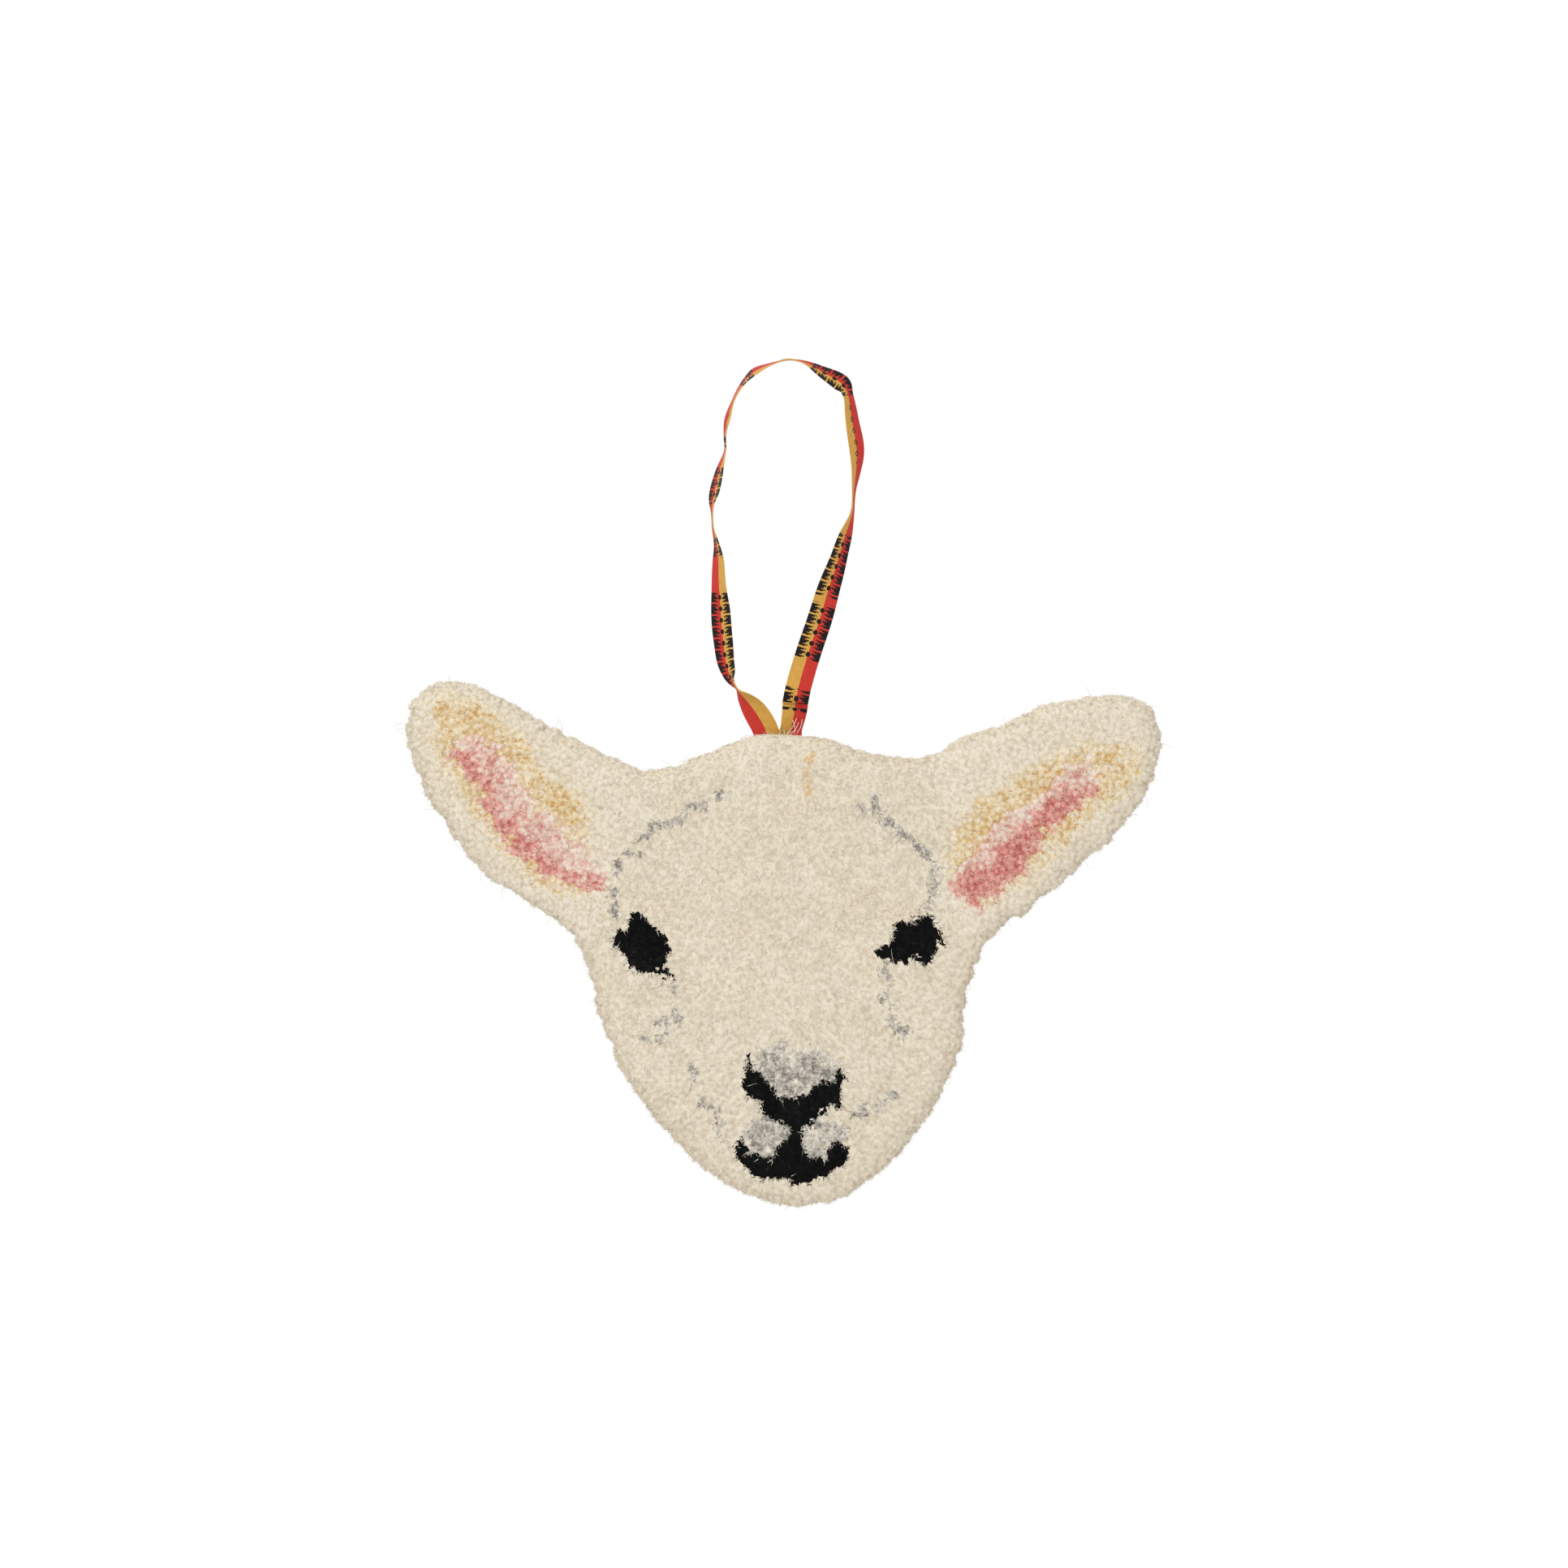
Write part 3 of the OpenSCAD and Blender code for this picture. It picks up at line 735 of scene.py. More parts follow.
def staggered_grid(loop, pitch):
    """Places in staggered rows over the box of a loop."""
    low, high = loop.min(0), loop.max(0)
    rows = np.arange(low[1], high[1], pitch * 0.866)
    grid_x, grid_z = np.meshgrid(np.arange(low[0], high[0], pitch), rows)
    grid_x[1::2] += pitch / 2
    return np.stack([grid_x.ravel(), grid_z.ravel()], 1)


def filled(loop, plan, gap):
    """Points and triangles over a loop and the places in it that keep a gap, and the ids of the loop."""
    plan = plan[inside_loop(plan, loop)]
    plan = plan[nearest_on_loop(plan, loop)[0] > gap]
    ring = len(loop)
    edges = [(k, (k + 1) % ring) for k in range(ring)]
    result = geometry.delaunay_2d_cdt([Vector(p) for p in np.vstack([loop, plan])], edges, [], 1, 1e-5)
    flat = np.array([tuple(p) for p in result[0]])
    faces = np.array([list(f) for f in result[2]], np.int32)
    first = {ids[0]: k for k, ids in enumerate(result[3]) if ids and ids[0] < ring}
    return flat, faces, np.array([first[k] for k in range(ring)])


def ring_quads(first, second):
    """Triangles between two rings of the same length."""
    a, b = first, second
    c, d = np.roll(b, -1), np.roll(a, -1)
    return np.concatenate([np.stack([a, b, c], 1), np.stack([a, c, d], 1)])


def add_rings(points, faces, previous, rings):
    """Joins ring after ring to the ids of a first one. Gives the last ring's ids and the count of points."""
    count = len(points[0])
    for ring in rings:
        points.append(ring)
        current = count + np.arange(len(ring))
        faces.append(ring_quads(previous, current))
        previous = current
        count += len(ring)
    return previous, count


def face_crosses(points, faces):
    """A vector along the normal of each triangle, as long as twice its area."""
    a, b, c = (points[faces[:, k]] for k in range(3))
    return np.cross(b - a, c - a)


def vertex_normals(points, faces):
    face_normal = face_crosses(points, faces)
    normals = np.zeros_like(points)
    for k in range(3):
        np.add.at(normals, faces[:, k], face_normal)
    return unit(normals)


def facing_back(points, faces, back):
    """The faces wound so that they look back (+Y) or to the front."""
    looks_back = face_crosses(points, faces)[:, 1].sum() > 0
    return faces if looks_back == back else faces[:, ::-1]


COVER_LOOP = back_outline("back_cover")
COVER_INSET = 1.5

# ---------------------------------------------------------------- wool pile

PILE_NODES = [s["node"] for s in frame["record"]["subparts"] if s["node"].endswith("_pile")]
PILE_SLOT = {s["node"]: s["material_slot"] for s in frame["record"]["subparts"]}
MARK_NODES = [n for n in PILE_NODES if "brow" in n or "mark" in n or "fleck" in n]
EAR_NODES = [n for n in PILE_NODES if "_ear_" in n]

# How far the pile stands in from its outline at each share of its height, from the shoulder to the foot
RIM_PROFILE = [
    (1.0, 0.765), (0.5, 0.68), (0.15, 0.56), (0.0, 0.42),
    (0.1, 0.27), (0.4, 0.12), (0.8, 0.02), (1.8, 0.0),
]  # fmt: skip
SKIN_PITCH = 0.52
SKIN_JITTER = 0.13
SKIN_GAP = 0.32
NUB_PITCH = 1.2
NUB_RADIUS = 0.82
FIBRES_PER_MM2 = 2.8
BENT_PER_MM2 = 2.7
HAIRS_PER_MM2 = 0.035
HAIR_LENGTH = 4.5
HAIR_RADII = (0.055, 0.055, 0.05, 0.045, 0.035, 0.0)
HAIR_RISES = (0.45, 0.25, 0.1, 0.02, 0.15)
FIBRE_RADII = (0.07, 0.12)
# Heights at which a node's wool is cut into pieces, so that none is too large
WHOLE = (1e3, -1e3)
FACE_BANDS = (1e3, -106, -124, -142, -160, -1e3)
SEAM_X = -1.3
# Farther than this from the middle, the pile is that of an ear
EAR_X = 36
# Fibres of one wool stray this far over the next, most of all in the ears
EAR_SCATTER = 2.1
FACE_SCATTER = 0.75
# How far the fibres and the skin stray over the outlines of the black areas and the marks
FIBRE_LOOSENESS = 0.32
SKIN_LOOSENESS = 0.1
# Places tried for the tufts' heads, and how far a tuft's colour is taken from its place
TUFT_TRIES = 130000
TINTED_WANDER = 0.85
PLAIN_WANDER = 0.2
# Around each place the share of pale wool is measured this far, on a map of this pitch
SHARE_REACH = 2.0
SHARE_PITCH = 0.4


def pile_finder():
    """A function that gives the pile node at each (x, z), or None off the wool."""
    points, faces, owner = [], [], []
    for index, node in enumerate(PILE_NODES):
        mesh = frame["nodes"][node].data
        offset = len(points)
        points += [v.co for v in mesh.vertices]
        faces += [[offset + v for v in p.vertices] for p in mesh.polygons]
        owner += [index] * len(mesh.polygons)
    tree = BVHTree.FromPolygons(points, faces)

    def find(x, z):
        hit = tree.ray_cast(Vector((x * MM, (FRONT_Y - 5) * MM, z * MM)), Vector((0, 1, 0)))
        return owner[hit[2]] if hit[2] is not None else None

    return find


def slow_noise(points, scale, seed):
    """Smooth values about 0, from a few plane waves; scale is the wavelength in millimetres."""
    local = np.random.default_rng(seed)
    value = np.zeros(len(points))
    waves = 9
    for _ in range(waves):
        direction = unit(local.normal(0, 1, points.shape[1]))
        wave = direction * 2 * math.pi / (scale * local.uniform(0.6, 1.6))
        value += np.sin(points @ wave + local.uniform(0, 2 * math.pi))
    return value / waves * 1.6


def top_height(plan, depth):
    """Height of the pile's top over its foot at each (x, z), given the distance in from the outline."""
    shoulder_d, shoulder_h = RIM_PROFILE[0]
    reach = 6.0
    fall = np.clip((reach - depth) / (reach - shoulder_d), 0, 1)
    height = PILE_H * (0.965 - (0.965 - shoulder_h) * fall**2.3)
    height += 0.22 * slow_noise(plan, 17, 3) + 0.10 * slow_noise(plan, 6, 4)
    seam = np.exp(-(((plan[:, 0] - SEAM_X) / 0.7) ** 2)) * np.clip((plan[:, 1] - CROWN_Z + 11) / 9, 0, 1)
    return height - 0.9 * seam


def near_ribbon(plan):
    """1 at the crown where the ribbon's feet come out, 0 away from them; the pile is trimmed even there."""
    across = np.exp(-(((plan[:, 0] + 2) / 11) ** 4))
    return across * np.clip((plan[:, 1] - CROWN_Z + 9) / 4, 0, 1)


def pile_outline():
    """The pile's uneven outline and its outward direction."""
    outline = resample(COVER_LOOP + loop_normals(COVER_LOOP) * COVER_INSET, 0.55)
    outward = smooth_normals(outline, 3)
    lumps = 0.38 * slow_noise(outline, 3.2, 9) + 0.30 * slow_noise(outline, 9, 10)
    lumps = lumps * (1 - near_ribbon(outline)) * (1 + 0.5 * (np.abs(outline[:, 0]) > EAR_X))
    return outline + outward * lumps[:, None], outward


def pile_skin():
    """Points and triangles of the pile's surface: a top of evenly scattered points and a bulging rim."""
    outline, outward = pile_outline()
    plan = staggered_grid(outline, SKIN_PITCH)
    plan = plan + rng.uniform(-SKIN_JITTER, SKIN_JITTER, plan.shape)
    flat, faces, shoulder = filled(outline - outward * RIM_PROFILE[0][0], plan, SKIN_GAP)
    depth, _ = nearest_on_loop(flat, outline)
    top = lifted(flat, PILE_FOOT_Y - top_height(flat, depth))
    wave = 1 + 0.05 * slow_noise(outline, 9, 8)
    rings = []
    for inset, share in RIM_PROFILE[1:]:
        rings.append(lifted(outline - outward * inset, PILE_FOOT_Y - PILE_H * share * wave))
    points, all_faces = [top], [facing_back(top, faces, False)]
    add_rings(points, all_faces, shoulder, rings)
    return np.vstack(points), np.vstack(all_faces)


def surface_samples(points, faces, count):
    """Random places on a surface and which way it faces there."""
    a, b, c = (points[faces[:, k]] for k in range(3))
    normal = face_crosses(points, faces)
    area = np.linalg.norm(normal, axis=1)
    face = rng.choice(len(faces), count, p=area / area.sum())
    s, t = rng.uniform(0, 1, (2, count))
    flip = s + t > 1
    s, t = np.where(flip, 1 - s, s)[:, None], np.where(flip, 1 - t, t)[:, None]
    place = a[face] + s * (b[face] - a[face]) + t * (c[face] - a[face])
    return place, unit(normal)[face]


def wool_at(find, x, z):
    """The pile node at (x, z); a place on the bulging rim takes the node just inside it."""
    node = find(x, z)
    if node is None:
        inward = HEAD_MIDDLE - (x, z)
        inward = inward / np.linalg.norm(inward) * 2
        node = find(x + inward[0], z + inward[1])
    return PILE_NODES.index("face_pile") if node is None else node


class Shares:
    """How much of each wool lies around a place, from a blurred map of the pile's colours."""

    def __init__(self, find):
        self.low = COVER_LOOP.min(0) - 3
        across, up = (np.arange(a, b, SHARE_PITCH) for a, b in zip(self.low, COVER_LOOP.max(0) + 3))
        nodes = np.array([[wool_at(find, x, z) for z in up] for x in across])
        self.slots = np.array([PILE_SLOT[n] for n in PILE_NODES])[nodes]
        self.maps = {}

    def of(self, slot, points):
        if slot not in self.maps:
            self.maps[slot] = self.blurred(self.slots == slot)
        cells = np.rint((points[:, [0, 2]] - self.low) / SHARE_PITCH).astype(int)
        cells = np.clip(cells, 0, np.array(self.slots.shape) - 1)
        return self.maps[slot][cells[:, 0], cells[:, 1]]

    @staticmethod
    def blurred(values):
        steps = np.arange(-10, 11)
        weights = np.exp(-0.5 * (steps * SHARE_PITCH / SHARE_REACH) ** 2)
        weights /= weights.sum()
        for axis in (0, 1):
            values = sum(w * np.roll(values, s, axis) for s, w in zip(steps, weights))
        return values


def scatter_nubs(points, faces, find):
    """Centres of the tufts' heads over the surface and the pile node of each."""
    place, _ = surface_samples(points, faces, TUFT_TRIES)
    wobble = rng.normal(0, 1, (len(place), 2))
    grid = {}
    chosen, owner = [], []
    tinted = {k for k, n in enumerate(PILE_NODES) if n.endswith(("sand_pile", "pink_pile", "rose_pile"))}

    def clear(p, key):
        for step in product((-1, 0, 1), repeat=3):
            for q in grid.get((key[0] + step[0], key[1] + step[1], key[2] + step[2]), ()):
                if (q[0] - p[0]) ** 2 + (q[1] - p[1]) ** 2 + (q[2] - p[2]) ** 2 < NUB_PITCH * NUB_PITCH:
                    return False
        return True

    for p, w in zip(place, wobble):
        key = tuple(int(value // NUB_PITCH) for value in p)
        if not clear(p, key):
            continue
        node = wool_at(find, p[0], p[2])
        reach = TINTED_WANDER if node in tinted else PLAIN_WANDER
        node = wool_at(find, p[0] + w[0] * reach, p[2] + w[1] * reach)
        grid.setdefault(key, []).append(tuple(p))
        chosen.append(p)
        owner.append(node)
    return np.array(chosen), np.array(owner)


def kd_of(points):
    tree = KDTree(len(points))
    for k, p in enumerate(points):
        tree.insert(p, k)
    tree.balance()
    return tree


def nearest_ids(tree, points):
    found = [tree.find(p) for p in points]
    return np.array([f[1] for f in found]), np.array([f[2] for f in found])


def relief_at(points, owner):
    """How strongly the tufts' heads stand out: more at ears, chin and rim, less at the ribbon."""
    is_ear = np.isin(owner, [PILE_NODES.index(n) for n in EAR_NODES])
    chin = np.clip((-128 - points[:, 2]) / 40, 0, 1)
    rim = np.clip((points[:, 1] - FRONT_Y - 0.5) / 1.5, 0, 1)
    relief = 0.07 + 0.16 * is_ear + 0.16 * chin + 0.30 * rim
    return relief * (1 - 0.7 * near_ribbon(points[:, [0, 2]]))


def flat_fibres(lines, normal, radius):
    """Fibres that lie flat on the pile and taper to a tip: wide across it and thin along its normal."""
    rings = lines.shape[1] - 1
    across = unit(np.cross(lines[:, -1] - lines[:, 0], normal))
    angles = math.pi / 2 + np.arange(3) * 2 * math.pi / 3
    points = []
    for ring, taper in zip(range(rings), (1.0, 0.8)):
        for angle in angles:
            wide = across * (radius * taper * math.cos(angle))[:, None]
            thick = normal * (radius * taper * math.sin(angle) * FIBRE_FLATNESS)[:, None]
            points.append(lines[:, ring] + wide + thick)
    points.append(lines[:, -1])
    return np.stack(points, 1), tube_faces(1, rings, 3, True)


def along_surface(vectors, normal):
    """The part of each vector that lies in the surface."""
    return vectors - (vectors * normal).sum(1, keepdims=True) * normal


def pile_fibres(place, normal, centre, reach, bent):
    """Fibre ends that open out from the middle of their tuft and lie over on its neighbours."""
    count = len(place)
    away = along_surface(place - centre, normal)
    side = unit(along_surface(rng.normal(0, 1, (count, 3)), normal))
    lean = np.stack([np.clip(place[:, 0] / 30, -0.7, 0.7), np.zeros(count), np.full(count, -0.8)], 1)
    side = unit(side + 0.6 * away + LEAN * along_surface(lean, normal))
    even = 1 - 0.4 * near_ribbon(place[:, [0, 2]])[:, None]
    length = reach[:, None] * rng.uniform(0.65, 1.35, (count, 1)) * even
    radius = rng.uniform(*FIBRE_RADII, count)
    start = place - normal * 0.06
    if not bent:
        end = place + side * length * 0.8 + normal * length * rng.uniform(0.0, 0.22, (count, 1))
        return flat_fibres(np.stack([start, end], 1), normal, radius)
    middle = place + side * length * 0.35 + normal * rng.uniform(0.08, 0.25, (count, 1))
    turned = unit(side + np.cross(normal, side) * rng.normal(0, 0.7, (count, 1)))
    end = middle + turned * length * 0.7 - normal * rng.uniform(0.0, 0.2, (count, 1))
    return flat_fibres(np.stack([start, middle, end], 1), normal, radius)


def stray_hairs(place, normal, length):
    """Long thin hairs that lie over the pile in loose curls."""
    count, steps = len(place), len(HAIR_RISES)
    side = unit(np.cross(normal, rng.normal(0, 1, (count, 3))))
    other = np.cross(normal, side)
    heading = rng.uniform(0, 2 * math.pi, count)
    curl = rng.normal(0, 0.4, count)
    line = [place - normal * 0.2]
    for rise in HAIR_RISES:
        heading = heading + curl + rng.normal(0, 0.2, count)
        step = (length * rng.uniform(0.6, 1.3, count) / steps)[:, None]
        along = side * np.cos(heading)[:, None] + other * np.sin(heading)[:, None]
        line.append(line[-1] + along * step + normal * rise)
    lines = np.stack(line, 1)
    ring = many_tubes(lines, np.tile(np.array(HAIR_RADII), (count, 1)), 3)[:, :steps]
    points = np.concatenate([ring.reshape(count, -1, 3), lines[:, -1:]], 1)
    return points, tube_faces(1, steps, 3, True)


def join_parts(parts):
    """Points, faces and tones of several arrays of equal small meshes, joined."""
    points, faces, tones = [], [], []
    offset = 0
    for group, pattern, tone in parts:
        count, each, _ = group.shape
        faces.append((pattern[None] + (offset + np.arange(count) * each)[:, None, None]).reshape(-1, 3))
        points.append(group.reshape(-1, 3))
        tones.append(np.repeat(tone, each))
        offset += count * each
    return np.concatenate(points), np.concatenate(faces), np.concatenate(tones)


# How much the tufts and the single fibres of each wool differ in tone: (middle, tufts, fibres)
TONES = {
    "ivory_wool": (0.60, 0.06, 0.16),
    "sand_wool": (0.64, 0.14, 0.36),
    "pink_wool": (0.58, 0.20, 0.32),
    "rose_wool": (0.42, 0.15, 0.30),
    "grey_wool": (0.55, 0.28, 0.45),
    "ochre_wool": (0.15, 0.12, 0.28),
    "black_wool": (0.50, 0.10, 0.28),
}
MARK_TONE = -0.18
MARK_SKIN_TONE = 0.18
FADES = {"sand_wool": 0.75, "pink_wool": 0.7, "rose_wool": 0.7, "grey_wool": 0.45, "ochre_wool": 0.5}
BLACK_NODES = [k for k, n in enumerate(PILE_NODES) if PILE_SLOT[n] == "black_wool"]
MARK_IDS = [PILE_NODES.index(n) for n in MARK_NODES]
SHARP_IDS = BLACK_NODES + MARK_IDS
MARK_THINNING = 0.05
EAR_IDS = [PILE_NODES.index(n) for n in EAR_NODES]
EAR_IVORY_TONE = 0.12
LEAN = 1.2
FIBRE_FLATNESS = 0.35
FACE_FIBRE = 1.3
EAR_FIBRE = 0.8
# How much darker the pile is painted between its tufts: painted shade in the hollows between the tufts' heads
FACE_VALLEY_SHADE = 0.12
EAR_VALLEY_SHADE = 0.4
# How unevenly the tufts stand, and how much their tone shows in the skin under the fibres
TUFT_SHIFT = 0.42
SPECKLE = 0.45
SKIN_ROUGHNESS = 0.04
SKIN_TUFT_SHARE = 0.6


class Pile:
    """The pile's surface, its tufts and which node each place belongs to."""

    def __init__(self):
        self.find = pile_finder()
        self.shares = Shares(self.find)
        self.skin, self.faces = pile_skin()
        self.nubs, self.owner = scatter_nubs(self.skin, self.faces, self.find)
        self.tree = kd_of(self.nubs)
        self.unmarked = np.flatnonzero(~np.isin(self.owner, MARK_IDS))
        self.unmarked_tree = kd_of(self.nubs[self.unmarked])
        self.shift = rng.normal(0, TUFT_SHIFT, (len(self.nubs), 2))
        self.tone = rng.normal(0, 1, len(self.nubs))
        self.rise = rng.normal(0, 1, len(self.nubs))
        self.speckle = rng.normal(0, SPECKLE, len(self.skin))
        self.raise_tufts()

    def raise_tufts(self):
        nub, far = nearest_ids(self.tree, self.skin)
        normals = vertex_normals(self.skin, self.faces)
        self.dome = 1 - np.clip(far / NUB_RADIUS, 0, 1.2) ** 2
        relief = relief_at(self.skin, self.owner[nub])
        lift = relief * (self.dome - 0.6 + 0.2 * self.rise[nub])
        lift = lift + rng.normal(0, SKIN_ROUGHNESS, len(self.skin))
        self.skin = self.skin + normals * lift[:, None]
        self.skin_nub = nub

    def owners(self, places, jitter, thinned=False):
        """The node of each place: by its tuft, but the black areas and the marks keep their own outline."""
        moved = places + rng.normal(0, 1, places.shape) * jitter
        nub, _ = nearest_ids(self.unmarked_tree, moved)
        owner = self.owner[self.unmarked[nub]]
        tuft, _ = nearest_ids(self.tree, places)
        loose = FIBRE_LOOSENESS if thinned else SKIN_LOOSENESS
        small = places[:, [0, 2]] + self.shift[tuft] + rng.normal(0, loose, (len(places), 2))
        drawn = np.array([wool_at(self.find, x, z) for x, z in small])
        sharp = np.isin(drawn, SHARP_IDS)
        if thinned:
            sharp &= ~(np.isin(drawn, MARK_IDS) & (rng.uniform(0, 1, len(drawn)) < MARK_THINNING))
        wrong = np.isin(owner, SHARP_IDS) & ~np.isin(drawn, SHARP_IDS)
        owner[wrong] = drawn[wrong]
        owner[sharp] = drawn[sharp]
        return owner


def tones_for(pile, index, points, nub_tone, spread):
    """Tones of a node's wool; a tinted wool grows paler where it meets the ivory, and all wool is darkened
    towards its rim as painted shade.
    """
    slot = PILE_SLOT[PILE_NODES[index]]
    middle, tufts, fibres = TONES[slot]
    if index in MARK_IDS and slot == "grey_wool":
        middle += MARK_TONE
    tone = middle + tufts * nub_tone + fibres * spread
    pale = pile.shares.of("ivory_wool", points)
    if slot in ("pink_wool", "rose_wool"):
        pale = pale + 0.5 * pile.shares.of("sand_wool", points)
    if slot in FADES and index not in MARK_IDS:
        tone += FADES[slot] * pale
    if slot == "rose_wool":
        tone += 0.35 * pile.shares.of("pink_wool", points)
    if slot == "ivory_wool":
        tone -= 0.3 * pile.shares.of("sand_wool", points)
        tone += EAR_IVORY_TONE * (index in EAR_IDS)
    # Painted shade: the wool is darker towards its rim, where the pile turns back to its foot
    rim = np.clip((points[:, 1] - FRONT_Y - 0.8) / 2.0, 0, 1)
    return tone - 0.12 * rim


def in_band(heights, band):
    return (heights < band[0]) & (heights >= band[1])


def grow_fibres(pile):
    """Each kind of fibre: shapes, their faces, nodes, tufts' tones, own tones and places."""
    area = np.linalg.norm(face_crosses(pile.skin, pile.faces), axis=1).sum() / 2
    groups = []
    for density, kind in ((FIBRES_PER_MM2, "straight"), (BENT_PER_MM2, "bent"), (HAIRS_PER_MM2, "hair")):
        place, normal = surface_samples(pile.skin, pile.faces, int(area * density))
        near, _ = nearest_ids(pile.tree, place)
        jitter = np.where(np.abs(place[:, 0]) > EAR_X, EAR_SCATTER, FACE_SCATTER)
        owner = pile.owners(place, jitter[:, None], thinned=True)
        if kind == "hair":
            shapes, pattern = stray_hairs(place, normal, HAIR_LENGTH)
            spread = rng.uniform(-2.4, 1.6, len(place))
        else:
            reach = np.where(np.isin(owner, EAR_IDS), EAR_FIBRE, FACE_FIBRE)
            shapes, pattern = pile_fibres(place, normal, pile.nubs[near], reach, kind == "bent")
            spread = rng.normal(0, 1, len(place))
        groups.append((shapes, pattern, owner, pile.tone[near], spread, place))
    return groups


def put_wool(name, pile, groups, index, skin_faces, band, material):
    """One piece of a node's wool: its part of the skin and the fibres that grow there."""
    used, local = np.unique(skin_faces, return_inverse=True)
    local_faces = local.reshape(-1, 3)
    tuft_tone = SKIN_TUFT_SHARE * pile.tone[pile.skin_nub[used]]
    tone = tones_for(pile, index, pile.skin[used], tuft_tone, pile.speckle[used])
    valley_shade = EAR_VALLEY_SHADE if index in EAR_IDS else FACE_VALLEY_SHADE
    # Painted shade: the skin is darker in the hollows between the tufts' heads and lighter on their domes
    tone += valley_shade * (pile.dome[used] - 0.7) + (MARK_SKIN_TONE if index in MARK_IDS else 0)
    parts = []
    for shapes, pattern, owner, nub_tone, spread, place in groups:
        mine = (owner == index) & in_band(place[:, 2], band)
        fibre_tone = tones_for(pile, index, place[mine], nub_tone[mine], spread[mine])
        parts.append((shapes[mine], pattern, fibre_tone))
    points, fibre_faces, tones = join_parts(parts)
    faces = np.vstack([local_faces, fibre_faces + len(used)])
    smooth = np.arange(len(faces)) < len(local_faces)
    piece = put_mesh(name, np.vstack([pile.skin[used], points]), faces, material, smooth)
    put_attribute(piece, "tone", np.clip(np.concatenate([tone, tones]), 0, 1))
    put_plan_uv(piece)
    return piece


def make_wool():
    """All the wool: each pile node is one piece, and the face is cut into bands."""
    pile = Pile()
    face_owner = pile.owners(pile.skin[pile.faces].mean(1), 0.12)
    groups = grow_fibres(pile)
    heights = pile.skin[pile.faces][:, :, 2].mean(1)
    materials = {name: wool_material(name) for name in WOOLS}
    for index, node in enumerate(PILE_NODES):
        slot = PILE_SLOT[node]
        cuts = FACE_BANDS if node == "face_pile" else WHOLE
        for number, band in enumerate(zip(cuts, cuts[1:]), 1):
            name = node.replace("_pile", "_wool") + (f"_{number}" if len(cuts) > 2 else "")
            skin_faces = pile.faces[(face_owner == index) & in_band(heights, band)]
            piece = put_wool(name, pile, groups, index, skin_faces, band, materials[slot])
            stand_in(piece, node)


# ---------------------------------------------------------------- cloths, threads and latex

# As many whip stitches as the frame has
STITCHES = 82
STITCH_R = 0.24
STITCH_SLANT = 1.5
# A stitch goes over the edge through these places: distance in from the edge, and depth
STITCH_ARC = ((2.3, 0.55), (1.9, 1.08), (0.9, 1.16), (0.1, 0.72), (-0.42, 0.1), (-0.62, -0.45), (-0.2, -0.9))
TACK_R = 0.06
TACK_Y = -0.42
# The hem reaches from the cloth's folded edge to this far inside the pile's outline
HEM_W = 7.0
HEM_BACK_Y = node_box("tufting_cloth")[1][1]
CLOTH_FRONT_Y = node_box("tufting_cloth")[0][1]
CLOTH_T = 0.8
# How far the cloth's fold stands in from the pile's outline
FOLD_INSET = 1.0
COTTON_PITCH = 0.0009
# Pitch of the points inside each cloth, and their gap to its rim as a share of it
COVER_GRID = 2.0
CLOTH_GRID = 3.2
GRID_GAP = 0.55


def closed_shell(name, rings, back_points, front_points, faces, ids, material):
    """A solid from a filled back face, rings of points round its rim, and a front face filled alike."""
    points = [back_points]
    all_faces = [facing_back(back_points, faces, True)]
    previous, count = add_rings(points, all_faces, ids, rings)
    points.append(front_points)
    all_faces.append(facing_back(front_points, faces, False) + count)
    all_faces.append(ring_quads(previous, ids + count))
    points = np.vstack(points)
    return put_mesh(name, points, outward_faces(points, np.vstack(all_faces)), material)


def outward_faces(points, faces):
    """The faces as one consistent closed surface that looks outwards."""
    work = bmesh.new()
    for p in points:
        work.verts.new(p)
    work.verts.ensure_lookup_table()
    for f in faces:
        work.faces.new([work.verts[k] for k in f])
    bmesh.ops.recalc_face_normals(work, faces=work.faces)
    work.verts.index_update()
    result = np.array([[v.index for v in f.verts] for f in work.faces], np.int32)
    work.free()
    return result


def make_cover(cotton):
    """The back cloth, drawn in a little at each stitch and turned under at its edge."""
    loop = resample(COVER_LOOP, 1.35)
    outward = smooth_normals(loop)
    run = line_run(closed_line(loop))
    edge_wave = np.cos(run[:-1] / run[-1] * STITCHES * 2 * math.pi)
    rim = loop - outward * 0.55
    flat, faces, ids = filled(rim, staggered_grid(rim, COVER_GRID), COVER_GRID * GRID_GAP)
    depth, _ = nearest_on_loop(flat, loop)
    near = np.argmin(((flat[:, None] - loop[None]) ** 2).sum(-1), 1)
    pucker = 0.16 * edge_wave[near] * np.exp(-depth / 2.6) - 0.10 * np.exp(-depth / 2.0)
    drape = 0.10 * slow_noise(flat, 34, 21) + 0.05 * slow_noise(flat, 12, 22)
    back = lifted(flat, BACK_Y - 0.12 + pucker + drape)
    front = lifted(flat, BACK_Y - COVER_T + 0.04)
    rings = []
    for inset, y in ((0.18, -0.22), (0.0, -0.42), (0.12, -0.62)):
        place = loop - outward * (inset + 0.12 * (1 - edge_wave))[:, None]
        rings.append(lifted(place, BACK_Y + y))
    cover = closed_shell("back_cotton_cover", rings, back, front, faces, ids, cotton)
    stand_in(cover, "back_cover")


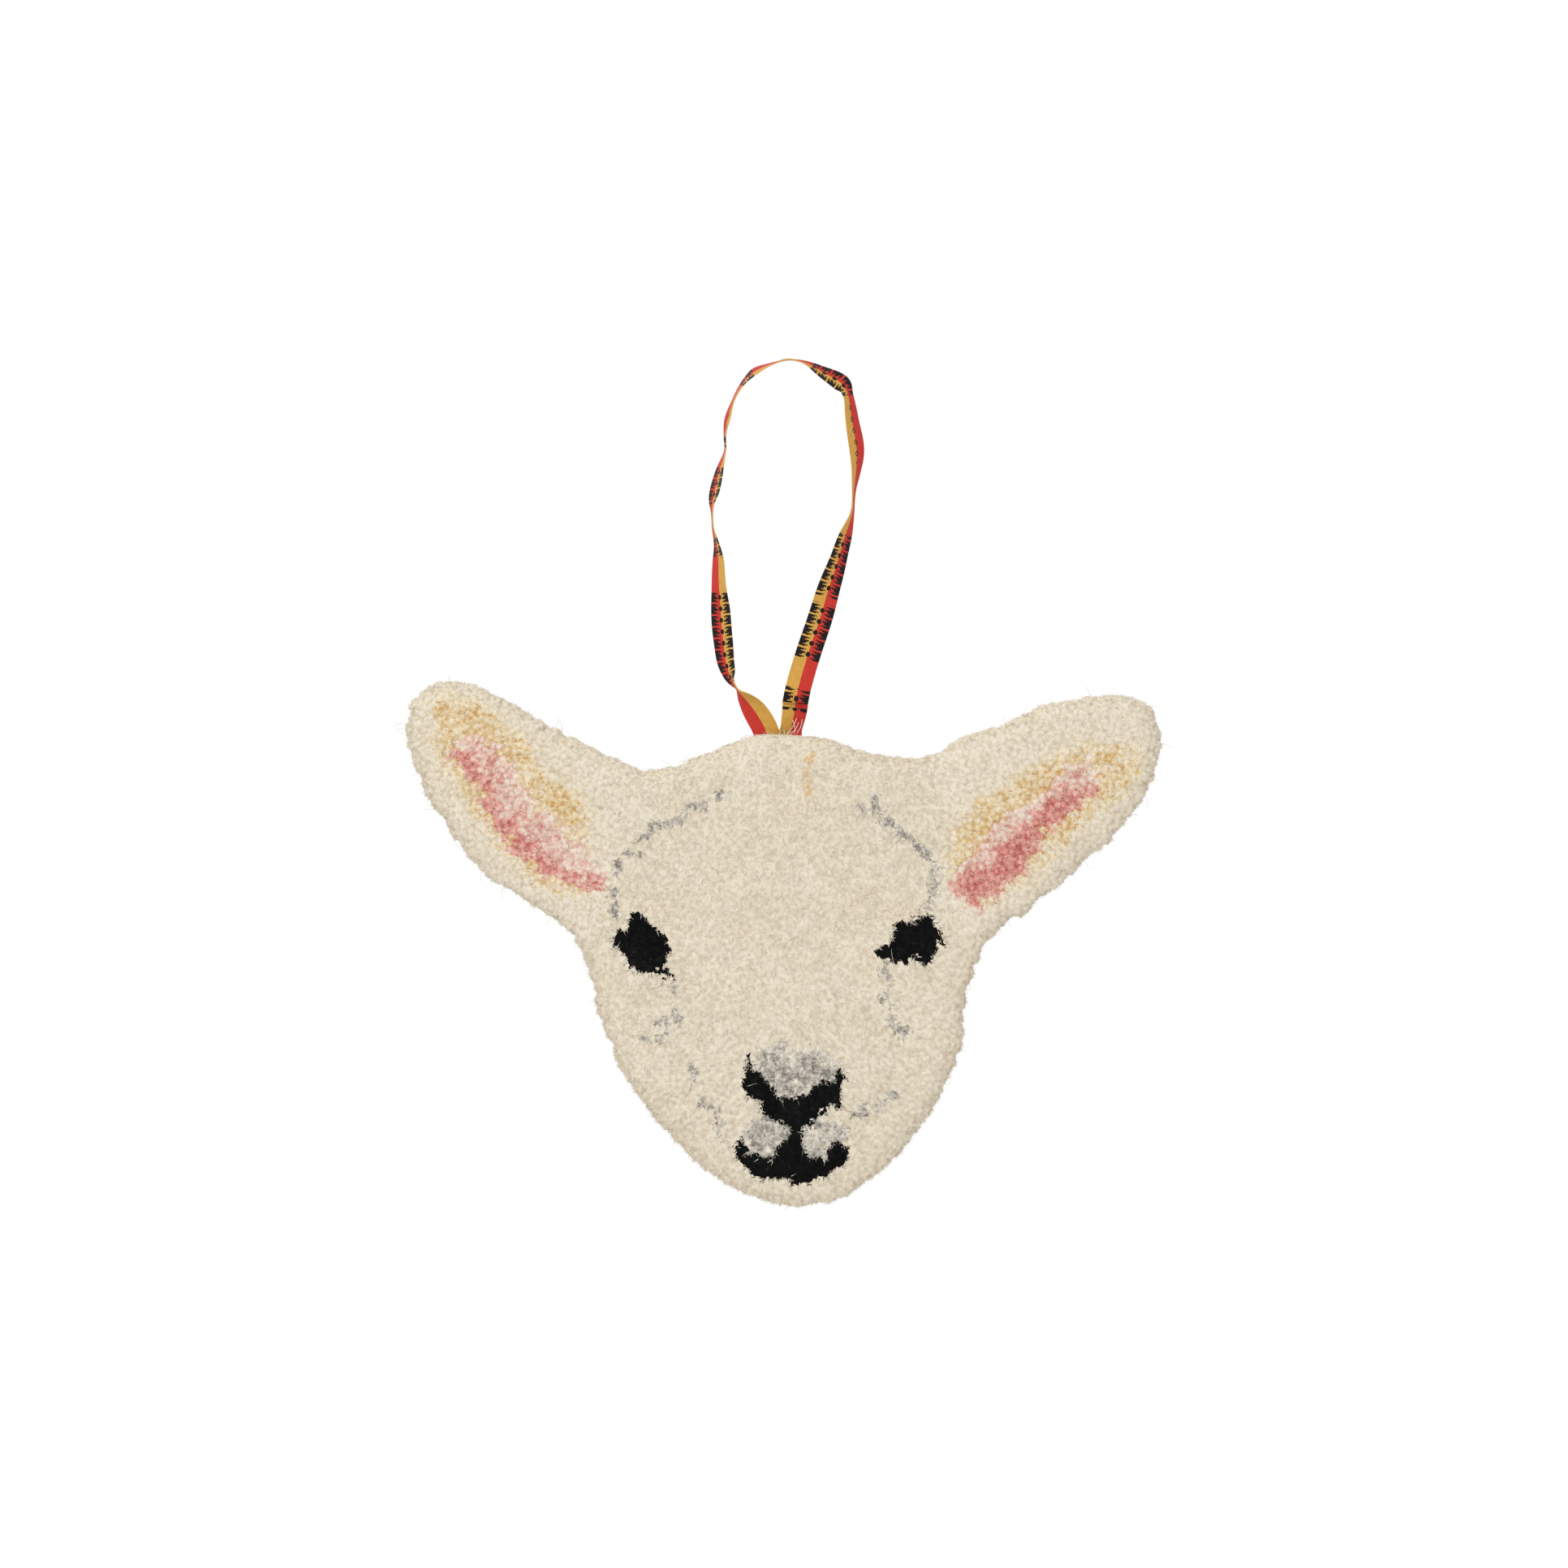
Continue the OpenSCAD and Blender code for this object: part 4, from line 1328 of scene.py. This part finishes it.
def make_tufting_cloth(cotton):
    """The cloth that carries the tufts: its front layer, its fold round the edge and the hem behind."""
    outline = resample(COVER_LOOP + loop_normals(COVER_LOOP) * COVER_INSET, 1.35)
    outward = smooth_normals(outline)
    rim = outline - outward * 2.2
    flat, faces, ids = filled(rim, staggered_grid(rim, CLOTH_GRID), CLOTH_GRID * GRID_GAP)
    front = lifted(flat, CLOTH_FRONT_Y + 0.02)
    inner = lifted(flat, CLOTH_FRONT_Y + CLOTH_T - 0.02)
    fold_inset = FOLD_INSET + 0.05 * slow_noise(outline, 7, 31)[:, None]
    hem_end = HEM_W - 0.2
    hem_front_y = HEM_BACK_Y - CLOTH_T
    section = (
        (1.25, CLOTH_FRONT_Y + 0.25), (fold_inset, CLOTH_FRONT_Y + 0.8), (fold_inset, HEM_BACK_Y - 0.7),
        (1.25, HEM_BACK_Y - 0.2), (2.0, HEM_BACK_Y - 0.03), (4.5, HEM_BACK_Y - 0.05),
        (hem_end, HEM_BACK_Y - 0.05), (hem_end, hem_front_y + 0.05), (2.3, hem_front_y + 0.05),
        (1.85, hem_front_y - 0.3),
    )  # fmt: skip
    rings = [lifted(outline - outward * inset, y) for inset, y in section]
    cloth = closed_shell("tufting_cotton_cloth", rings, front, inner, faces, ids, cotton)
    stand_in(cloth, "tufting_cloth")


def put_threads(name, lines, radius, sides, material):
    """Threads along lines, closed with a point at each end, as one mesh."""
    lines = np.array(lines)
    count, rings, _ = lines.shape
    ring = many_tubes(lines, np.full((count, rings), radius), sides)
    points = np.concatenate([lines[:, :1], ring.reshape(count, -1, 3), lines[:, -1:]], 1)
    body = tube_faces(1, rings, sides, True) + 1
    start = np.array([(0, (k + 1) % sides + 1, k + 1) for k in range(sides)], np.int32)
    points, faces, _ = join_parts([(points, np.vstack([body, start]), np.zeros(count))])
    return put_mesh(name, points, faces, material)


def make_edge_stitches(thread):
    """Slanting whip stitches that sew the cover to the folded edge of the tufting cloth."""
    loop = resample(COVER_LOOP, 0.45)
    outward = smooth_normals(loop, 8)
    run = line_run(closed_line(loop))
    at = (np.arange(STITCHES) + 0.5) / STITCHES * run[-1]
    lines = []
    for distance in at + rng.normal(0, 0.25, STITCHES):
        line = []
        for k, (inset, y) in enumerate(STITCH_ARC):
            here = (distance + STITCH_SLANT * (k / (len(STITCH_ARC) - 1) - 0.5)) % run[-1]
            i = min(int(np.searchsorted(run, here)) - 1, len(loop) - 1)
            place = loop[i] - outward[i] * inset
            line.append((place[0], y, place[1]))
        lines.append(line)
    stitches = put_threads("edge_whip_stitches", lines, STITCH_R, 6, thread)
    stand_in(stitches, "edge_stitches")


def make_tack_threads(thread):
    """Fine threads that tack the ribbon's feet; a few loose ones show in front of the right foot."""
    lines = []
    for x, z in ((-3.6, -89.2), (-3.2, -90.6), (1.5, -89.2), (1.4, -90.6)):
        span = np.linspace(-2.6, 2.6, 6)
        lines.append([(x + d, TACK_Y - 0.12 * math.cos(d * 1.2), z + 0.1 * d) for d in span])
    loose = (
        (0.6, -87.6, 3.2, -83.6), (1.6, -87.6, 3.6, -84.6), (2.6, -87.4, 2.2, -84.0),
        (3.2, -87.2, 4.4, -83.9), (0.2, -87.4, -0.6, -84.9), (-1.2, -87.5, 0.4, -84.4),
    )  # fmt: skip
    for x0, z0, x1, z1 in loose:
        t = np.linspace(0, 1, 6)
        x = x0 + (x1 - x0) * t + 0.35 * np.sin(t * math.pi)
        y = -0.7 - 1.3 * (1 - t) ** 2
        lines.append(np.stack([x, y, z0 + (z1 - z0) * t], 1).tolist())
    tacks = put_threads("ribbon_tack_threads", lines, TACK_R, 5, thread)
    bend_at_crown(tacks)
    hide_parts("ribbon_tack_stitches")


def make_backing():
    cotton = cotton_material("natural_cotton", COTTON, COTTON_PITCH)
    thread = thread_material()
    make_cover(cotton)
    make_tufting_cloth(cotton)
    make_edge_stitches(thread)
    make_tack_threads(thread)
    latex = frame["nodes"]["latex_coat"]
    for slot in latex.material_slots:
        slot.material = latex_material()


make_camera()
make_studio()
make_floor()
make_ribbon()
make_wool()
make_backing()
